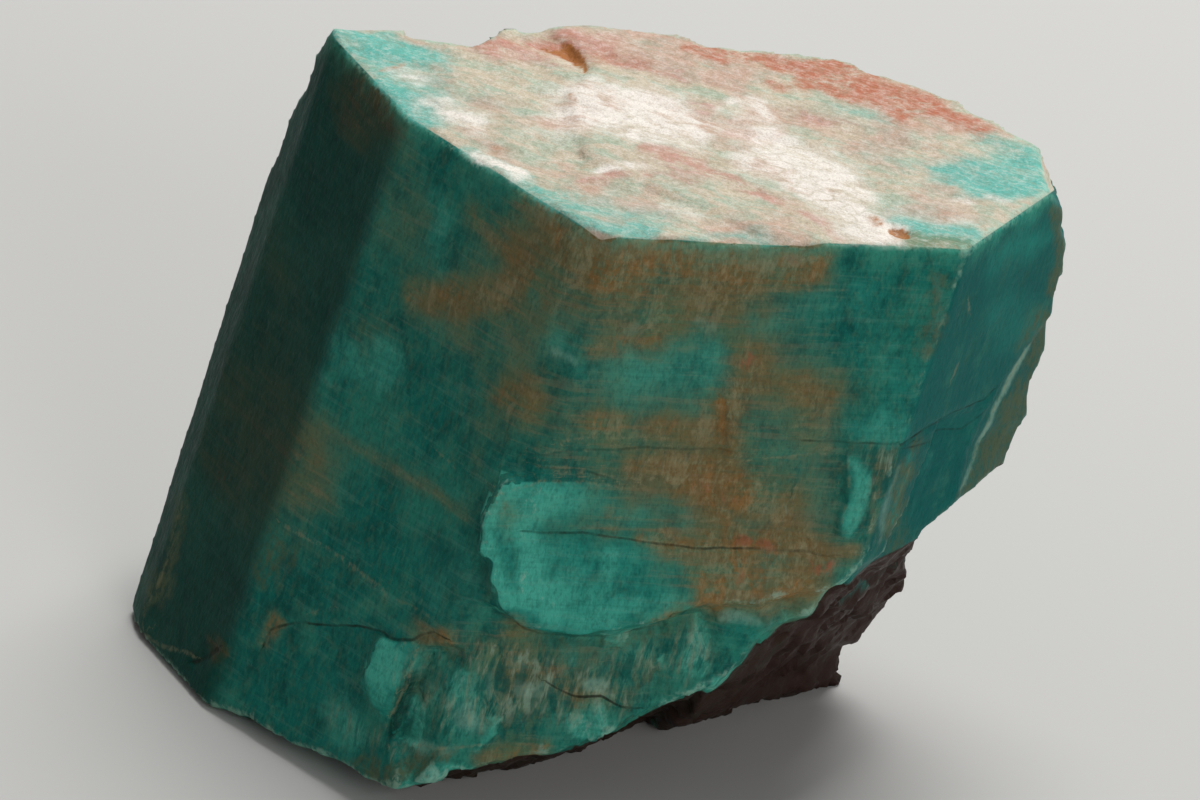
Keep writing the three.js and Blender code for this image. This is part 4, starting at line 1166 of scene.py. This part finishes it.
def microcline(looks):
    """Amazonite: green microcline feldspar, cleaved and broken, waxy to pearly.

    Its body is cloudy, so its green changes softly from place to place; white albite fibres
    run through it, and iron has stained it pink on the cleavage and rust-brown in the faces.
    Some colour is painted light: sheen on the cleavage, glow under the top's edges, lit flakes,
    and shade on the narrow face, in a hollow beside a block and on the foot.
    """
    material = bpy.data.materials.new("amazonite_microcline")
    material.use_nodes = True
    tree = material.node_tree
    tree.nodes.clear()
    patterns = add_patterns(tree)
    colour = add_coats(tree, looks, patterns, add_places(tree))
    surface = add_bumps(tree, patterns)
    gloss = add(
        tree,
        "ShaderNodeMapRange",
        {},
        {
            "Value": patterns["speckle"],
            "From Min": SHINY[0],
            "From Max": DULL[0],
            "To Min": SHINY[1],
            "To Max": DULL[1],
        },
    )
    shader = add(
        tree,
        "ShaderNodeBsdfPrincipled",
        {},
        {
            "Base Color": colour,
            "Roughness": gloss.outputs["Result"],
            "IOR": 1.53,
            "Specular IOR Level": 0.07,
            "Normal": surface,
        },
    )
    add(tree, "ShaderNodeOutputMaterial", {}, {"Surface": shader.outputs["BSDF"]})
    return material


def painted(name, label, colour):
    """A colour that the user can change."""
    return bpy.props.FloatVectorProperty(
        name=name, description=label, subtype="COLOR", size=3, min=0.0, max=1.0,
        default=linear(colour)[:3],
    )


class AmazoniteLooks(bpy.types.PropertyGroup):
    """Sizes and colours of the crystal."""

    grain: bpy.props.FloatProperty(
        name="Face size",
        description="Size of the small faces that the stone is remade in",
        default=0.00055,
        min=0.0004,
        unit="LENGTH",
    )
    crack_depth: bpy.props.FloatProperty(
        name="Crack depth",
        description="How deep the hairline cracks are sunk",
        default=0.00022,
        min=0.0,
        unit="LENGTH",
    )
    deep_teal: painted("Deep teal", "Clear dark green body", "#0c524c")
    teal: painted("Teal", "Green body", "#14766a")
    sea: painted("Sea green", "Lighter cloudy body", "#3d957f")
    clear: painted("Clear blue-green", "Clear body of the right face", "#045c59")
    # Painted shade, for the narrow left face and the hollow beside the block
    painted_shade: painted("Shade", "Dark skin of the narrow left face", "#08291f")
    lagoon: painted("Lagoon", "Clear bright green under the thin plates", "#1f9283")
    turquoise: painted("Turquoise", "Thin bright flakes", "#52bfa9")
    milk: painted("Milk", "Albite fibres and bruised edges", "#9cc4b0")
    ash: painted("Ash", "Grey-green weathered skin", "#586449")
    olive: painted("Olive", "Body with a little iron in it", "#66805c")
    umber: painted("Umber", "Body with more iron in it", "#7f643c")
    rust: painted("Rust", "Orange-brown iron stain", "#a3703a")
    tan: painted("Tan", "Specks and seams where the stone has turned to clay", "#a7a07c")
    brick: painted("Brick", "Red iron stain", "#a15a41")
    # Dark brown of the broken foot, deepened with painted shade
    maroon_and_shade: painted("Maroon", "Brown skin of the foot", "#38221d")
    # Painted glow of light shining through the green under the top's edges
    painted_glow: painted("Glow", "Light in the green just under the top edge", "#4aa88f")
    sage: painted("Sage", "Green-grey cleavage", "#aebfa9")
    sand: painted("Sand", "Buff cleavage", "#ccc0a9")
    blush: painted("Blush", "Pink cleavage", "#cc988a")
    salmon: painted("Salmon", "Red-pink iron stain on the cleavage", "#bd6c50")
    # White albite, and painted sheen where the cleavage mirrors the light
    pearl_and_sheen: painted("Pearl", "White albite on the cleavage", "#f6eee4")
    cyan: painted("Cyan", "Blue-green cleavage", "#5fb9ac")
    ochre: painted("Ochre", "Brown iron spots on the cleavage", "#a5672c")
    soot: painted("Soot", "Dirt in the cracks", "#1a1712")


class AmazoniteStudio(bpy.types.PropertyGroup):
    """The plain studio round the stone."""

    floor_colour: painted("Floor", "Pale matt floor", "#c6c5c2")
    distance: bpy.props.FloatProperty(
        name="Camera distance", description="From the camera to the stone",
        default=2.5, min=0.5, unit="LENGTH",
    )
    width: bpy.props.FloatProperty(
        name="Width in view", description="How wide a strip the picture takes in at the stone",
        default=0.1152, min=0.01, unit="LENGTH",
    )
    key_power: bpy.props.FloatProperty(
        name="Key light", description="Power of the large light behind and above",
        default=15.0, min=0.0, unit="POWER",
    )
    fill_power: bpy.props.FloatProperty(
        name="Fill light", description="Power of the soft light in front",
        default=8.0, min=0.0, unit="POWER",
    )


def carve(mesh, places, facing, share, wander, crack_depth):
    """Raises the relief, sinks the cracks, stores the lines, and returns the new places."""
    front = places[:, [0, 2]] + LINE_WANDER * wander
    out = relief(places, share)
    lined = forward(facing, *LINED_FRONT)
    for name, table in (("crack", CRACKS), ("seam", SEAMS)):
        near, side, strength = nearest_line(front, table)
        keep(mesh, name, strength * lined * (near < LINE_REACH))
        keep(mesh, name + "_side", np.clip(near, 0, 1) * side)
        if name == "crack":
            groove = strength * lined * np.exp(-((near / CRACK_HALF) ** 2))
            out -= groove * crack_depth / MM
    low, high = np.array(CAD_LOW) / MM, np.array(CAD_HIGH) / MM
    carved = np.clip(places + facing * out[:, None], low, high)
    move(mesh, carved)
    return carved


def keep_faces(mesh, places, facing, inward, under_top):
    """Stores how far each place is within the top, the narrow face and the right face."""
    rim = np.minimum.reduce([inward[name] for name in FRONT_FACES + ("rim",)])
    well_in = (rim > WELL_IN) & (under_top < SKIN)
    crisp = np.where(well_in, FAR, np.clip(rim - under_top, -FAR, FAR))
    blunt = np.where((facing[:, 2] > BLUNT_UPWARD) & (under_top < BLUNT_REACH), 0.0, -FAR)
    back = (facing[:, 1] > TOP_END) & (under_top > SKIN)
    keep(mesh, "top", np.where(back, blunt, crisp))
    # Where the narrow face begins; its painted shade is laid from this
    keep(mesh, "narrow", np.clip(inward["left"] - inward["narrow"], -FAR, FAR))
    keep(mesh, "right", np.clip(inward["front"] - inward["right"], -FAR, FAR))
    # Painted glow: full just under the top's edges, fading downwards
    keep(mesh, "rim", ramp(-crisp, -0.1, 0.3) * np.exp((places[:, 2] - TOP) / RIM_FADE))


def keep_breaks(mesh, places, facing, inward, rough):
    """Stores the rough breaks, their light and dark facets, the foot with its painted shade, and
    the worn edges.
    """
    bulge = convexity(mesh, places, facing)
    _, number = facets(places @ np.array(fibre_frame()).T, *BLOCKS)
    keep(mesh, "rough", rough)
    keep(mesh, "back", ramp(facing[:, 1], *REAR) * rough)
    below = places[:, 2] - TOP
    keep(mesh, "flush", ramp(facing[:, 1], *REAR_EDGE) * np.exp(below / FLUSH_FADE))
    keep(mesh, "light_facet", rough * ramp(number, *LIGHT_FACET))
    keep(mesh, "dark_facet", rough * ramp(number, *DARK_FACET))
    buried = ramp(inward["front"], *FOOT_BURIED) * ramp(inward["left"], *FOOT_BURIED)
    rearward = ramp(facing[:, 1], *FOOT_END)
    downward = ramp(-facing[:, 2], *DOWNWARD) * (1 - ramp(places[:, 2], *FOOT_UNDER))
    downward *= 1 - rearward
    low = ramp(places[:, 0], *FOOT_START) * (1 - ramp(places[:, 2], *FOOT_FADE))
    low *= (1 - rearward) + rearward * FOOT_REAR * (1 - ramp(places[:, 2], *FOOT_REAR_FADE))
    # Painted shade: the foot's undersides and low parts turn dark brown
    foot = buried * rough * np.maximum(downward, low)
    keep(mesh, "foot", foot)
    keep(mesh, "worn", ramp(bulge, *WORN) * (1 - WORN_LESS * foot))


def keep_top_stains(mesh, plan, places, facing, under_top):
    """Stores the stains on the cleaved top."""
    wander = ragged(plan, 2)
    level = ramp(facing[:, 2], *STAINED_TOP)
    level *= ramp(places[:, 2], TOP - STAIN_DEPTH, TOP - SKIN)
    beside = np.minimum.reduce([reach_from(plan, points)[0] for points in SUNKEN])
    sunken = ramp(under_top, *PIT_DEPTH) * ((beside < SUNKEN_REACH) & (under_top < PIT_END))
    for name, marks in ON_TOP.items():
        stain = stained(plan, wander, marks) * level
        keep(mesh, name, np.maximum(stain, sunken) if name == "ochre" else stain)


def keep_front_stains(mesh, front, wander, seen):
    """Stores the stains on the front, and how far each place is within each outline."""
    most = np.where(seen > SEEN, FAR, -FAR)
    for name, outline in OUTLINES.items():
        keep(mesh, name, np.clip(within(front + OUTLINE_WANDER * wander, outline), -FAR, most))
    stains = {
        name: stained(front, wander, marks, FADES.get(name, STAIN_END)) * seen
        for name, marks in ON_FRONT.items()
    }
    iron = 1 - (1 - stains["rust"]) * (1 - UMBER_SHARE * stains.pop("umber"))
    bright = np.maximum(stains["bright"], stains["lit"])
    keep(mesh, "iron", iron * (1 - IRON_LESS * bright))
    for name, values in stains.items():
        keep(mesh, name, values)


class AMAZONITE_OT_crystal(bpy.types.Operator):
    """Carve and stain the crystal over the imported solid"""

    bl_idname = "amazonite.crystal"
    bl_label = "Crystal"

    def execute(self, context):
        looks = context.scene.amazonite_looks
        mesh = fine_copy(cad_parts[SOLID], looks.grain)
        refine(mesh, CUT_REACH)
        plain, facing = places_of(mesh)
        share = shares(plain, facing)
        plan, front = plain[:, [0, 1]], plain[:, [0, 2]]
        wander = ragged(front, 1)
        places = carve(mesh, plain, facing, share, wander, looks.crack_depth)

        inward = {name: sunk(places, name) for name in FLAT_FACES}
        gap, flank = reach_from(plan, LAYER_EDGE)
        low_layer = LOW_LAYER * ramp(gap * flank, -0.5, 0.5)
        under_top = TOP - low_layer - places[:, 2]
        keep_faces(mesh, places, facing, inward, under_top)
        keep_breaks(mesh, places, facing, inward, share["rough"])
        keep_top_stains(mesh, plan, places, facing, under_top)
        seen = np.maximum(forward(facing, *STAINED_FRONT), share["right"])
        keep_front_stains(mesh, front, wander, seen)

        crystal = bpy.data.objects.new("crystal", mesh)
        context.scene.collection.objects.link(crystal)
        mesh.shade_smooth()
        mesh.materials.clear()
        mesh.materials.append(microcline(looks))
        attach(crystal, "root")
        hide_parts(SOLID)
        return {"FINISHED"}


# Studio, in metres: the floor's half width, what the lights are aimed at, and each light's
# place and width
FLOOR_REACH = 4.0
MIDDLE = (0.0, 0.0, 0.027)
KEY_PLACE, KEY_WIDTH = (0.3, 0.6, 0.95), 0.7
FILL_PLACE, FILL_WIDTH = (0.75, -1.3, 0.6), 0.8
SKY, SKY_STRENGTH = "#d9dadb", 0.2

# Camera: width of its sensor in mm, degrees it stands above the level, what it is aimed at in
# mm, and how near and how far it sees in metres
SENSOR = 36.0
CAMERA_RISE = 30
CAMERA_TARGET = (0.427, 0.0, 29.1)
NEAREST, FARTHEST = 0.1, 20.0


def aim(thing, at, target):
    """Puts a light or camera at a place and turns it to face the target."""
    thing.location = at
    thing.rotation_euler = (Vector(target) - Vector(at)).to_track_quat("-Z", "Y").to_euler()


def soft_light(name, at, width, power):
    """Adds a large square light, aimed at the stone, that the camera doesn't see."""
    data = bpy.data.lights.new(name, "AREA")
    data.shape = "SQUARE"
    data.size = width
    data.energy = power
    lamp = bpy.data.objects.new(name, data)
    bpy.context.scene.collection.objects.link(lamp)
    lamp.visible_camera = False
    aim(lamp, at, MIDDLE)


def lay_floor(studio):
    """Lays the floor that the stone rests on."""
    shape = bmesh.new()
    bmesh.ops.create_grid(shape, x_segments=1, y_segments=1, size=FLOOR_REACH)
    mesh = bpy.data.meshes.new("floor")
    shape.to_mesh(mesh)
    shape.free()
    floor = bpy.data.objects.new("floor", mesh)
    bpy.context.scene.collection.objects.link(floor)
    # Matt painted board: one pale grey, with no shine that could mirror the stone
    board = bpy.data.materials.new("matt_board")
    board.use_nodes = True
    shader = board.node_tree.nodes["Principled BSDF"]
    shader.inputs["Base Color"].default_value = tuple(studio.floor_colour) + (1.0,)
    shader.inputs["Roughness"].default_value = 0.9
    mesh.materials.append(board)


def light_sky(scene):
    """Gives the scene an even, dim, pale sky."""
    world = bpy.data.worlds.new("studio")
    world.use_nodes = True
    background = world.node_tree.nodes["Background"]
    background.inputs["Color"].default_value = linear(SKY)
    background.inputs["Strength"].default_value = SKY_STRENGTH
    scene.world = world


def set_camera(scene, studio):
    """Sets a long camera in front of the stone, looking down at it."""
    data = bpy.data.cameras.new("camera")
    data.sensor_width = SENSOR
    data.lens = SENSOR * studio.distance / studio.width
    data.clip_start, data.clip_end = NEAREST, FARTHEST
    camera = bpy.data.objects.new("camera", data)
    scene.collection.objects.link(camera)
    rise = math.radians(CAMERA_RISE)
    target = Vector(CAMERA_TARGET) * MM
    back = Vector((0.0, -math.cos(rise), math.sin(rise)))
    aim(camera, target + back * studio.distance, target)
    scene.camera = camera


class AMAZONITE_OT_studio(bpy.types.Operator):
    """Lay the pale floor and set the soft lights and the camera"""

    bl_idname = "amazonite.studio"
    bl_label = "Studio"

    def execute(self, context):
        studio = context.scene.amazonite_studio
        lay_floor(studio)
        soft_light("key", KEY_PLACE, KEY_WIDTH, studio.key_power)
        soft_light("fill", FILL_PLACE, FILL_WIDTH, studio.fill_power)
        light_sky(context.scene)
        set_camera(context.scene, studio)
        context.scene.view_settings.view_transform = "Standard"
        return {"FINISHED"}


class AMAZONITE_PT_panel(bpy.types.Panel):
    """The stone's looks and the studio"""

    bl_label = "Rough amazonite"
    bl_idname = "AMAZONITE_PT_panel"
    bl_space_type = "VIEW_3D"
    bl_region_type = "UI"
    bl_category = "Amazonite"

    def draw(self, context):
        for group in (context.scene.amazonite_looks, context.scene.amazonite_studio):
            box = self.layout.box()
            for name in group.__annotations__:
                box.prop(group, name)
        self.layout.operator(AMAZONITE_OT_crystal.bl_idname)
        self.layout.operator(AMAZONITE_OT_studio.bl_idname)


CLASSES = (
    AmazoniteLooks,
    AmazoniteStudio,
    AMAZONITE_OT_crystal,
    AMAZONITE_OT_studio,
    AMAZONITE_PT_panel,
)


def register():
    for made in CLASSES:
        bpy.utils.register_class(made)
    bpy.types.Scene.amazonite_looks = bpy.props.PointerProperty(type=AmazoniteLooks)
    bpy.types.Scene.amazonite_studio = bpy.props.PointerProperty(type=AmazoniteStudio)


def unregister():
    del bpy.types.Scene.amazonite_studio
    del bpy.types.Scene.amazonite_looks
    for made in reversed(CLASSES):
        bpy.utils.unregister_class(made)


def main():
    register()
    bpy.ops.amazonite.crystal()
    bpy.ops.amazonite.studio()


if __name__ == "__main__":
    main()
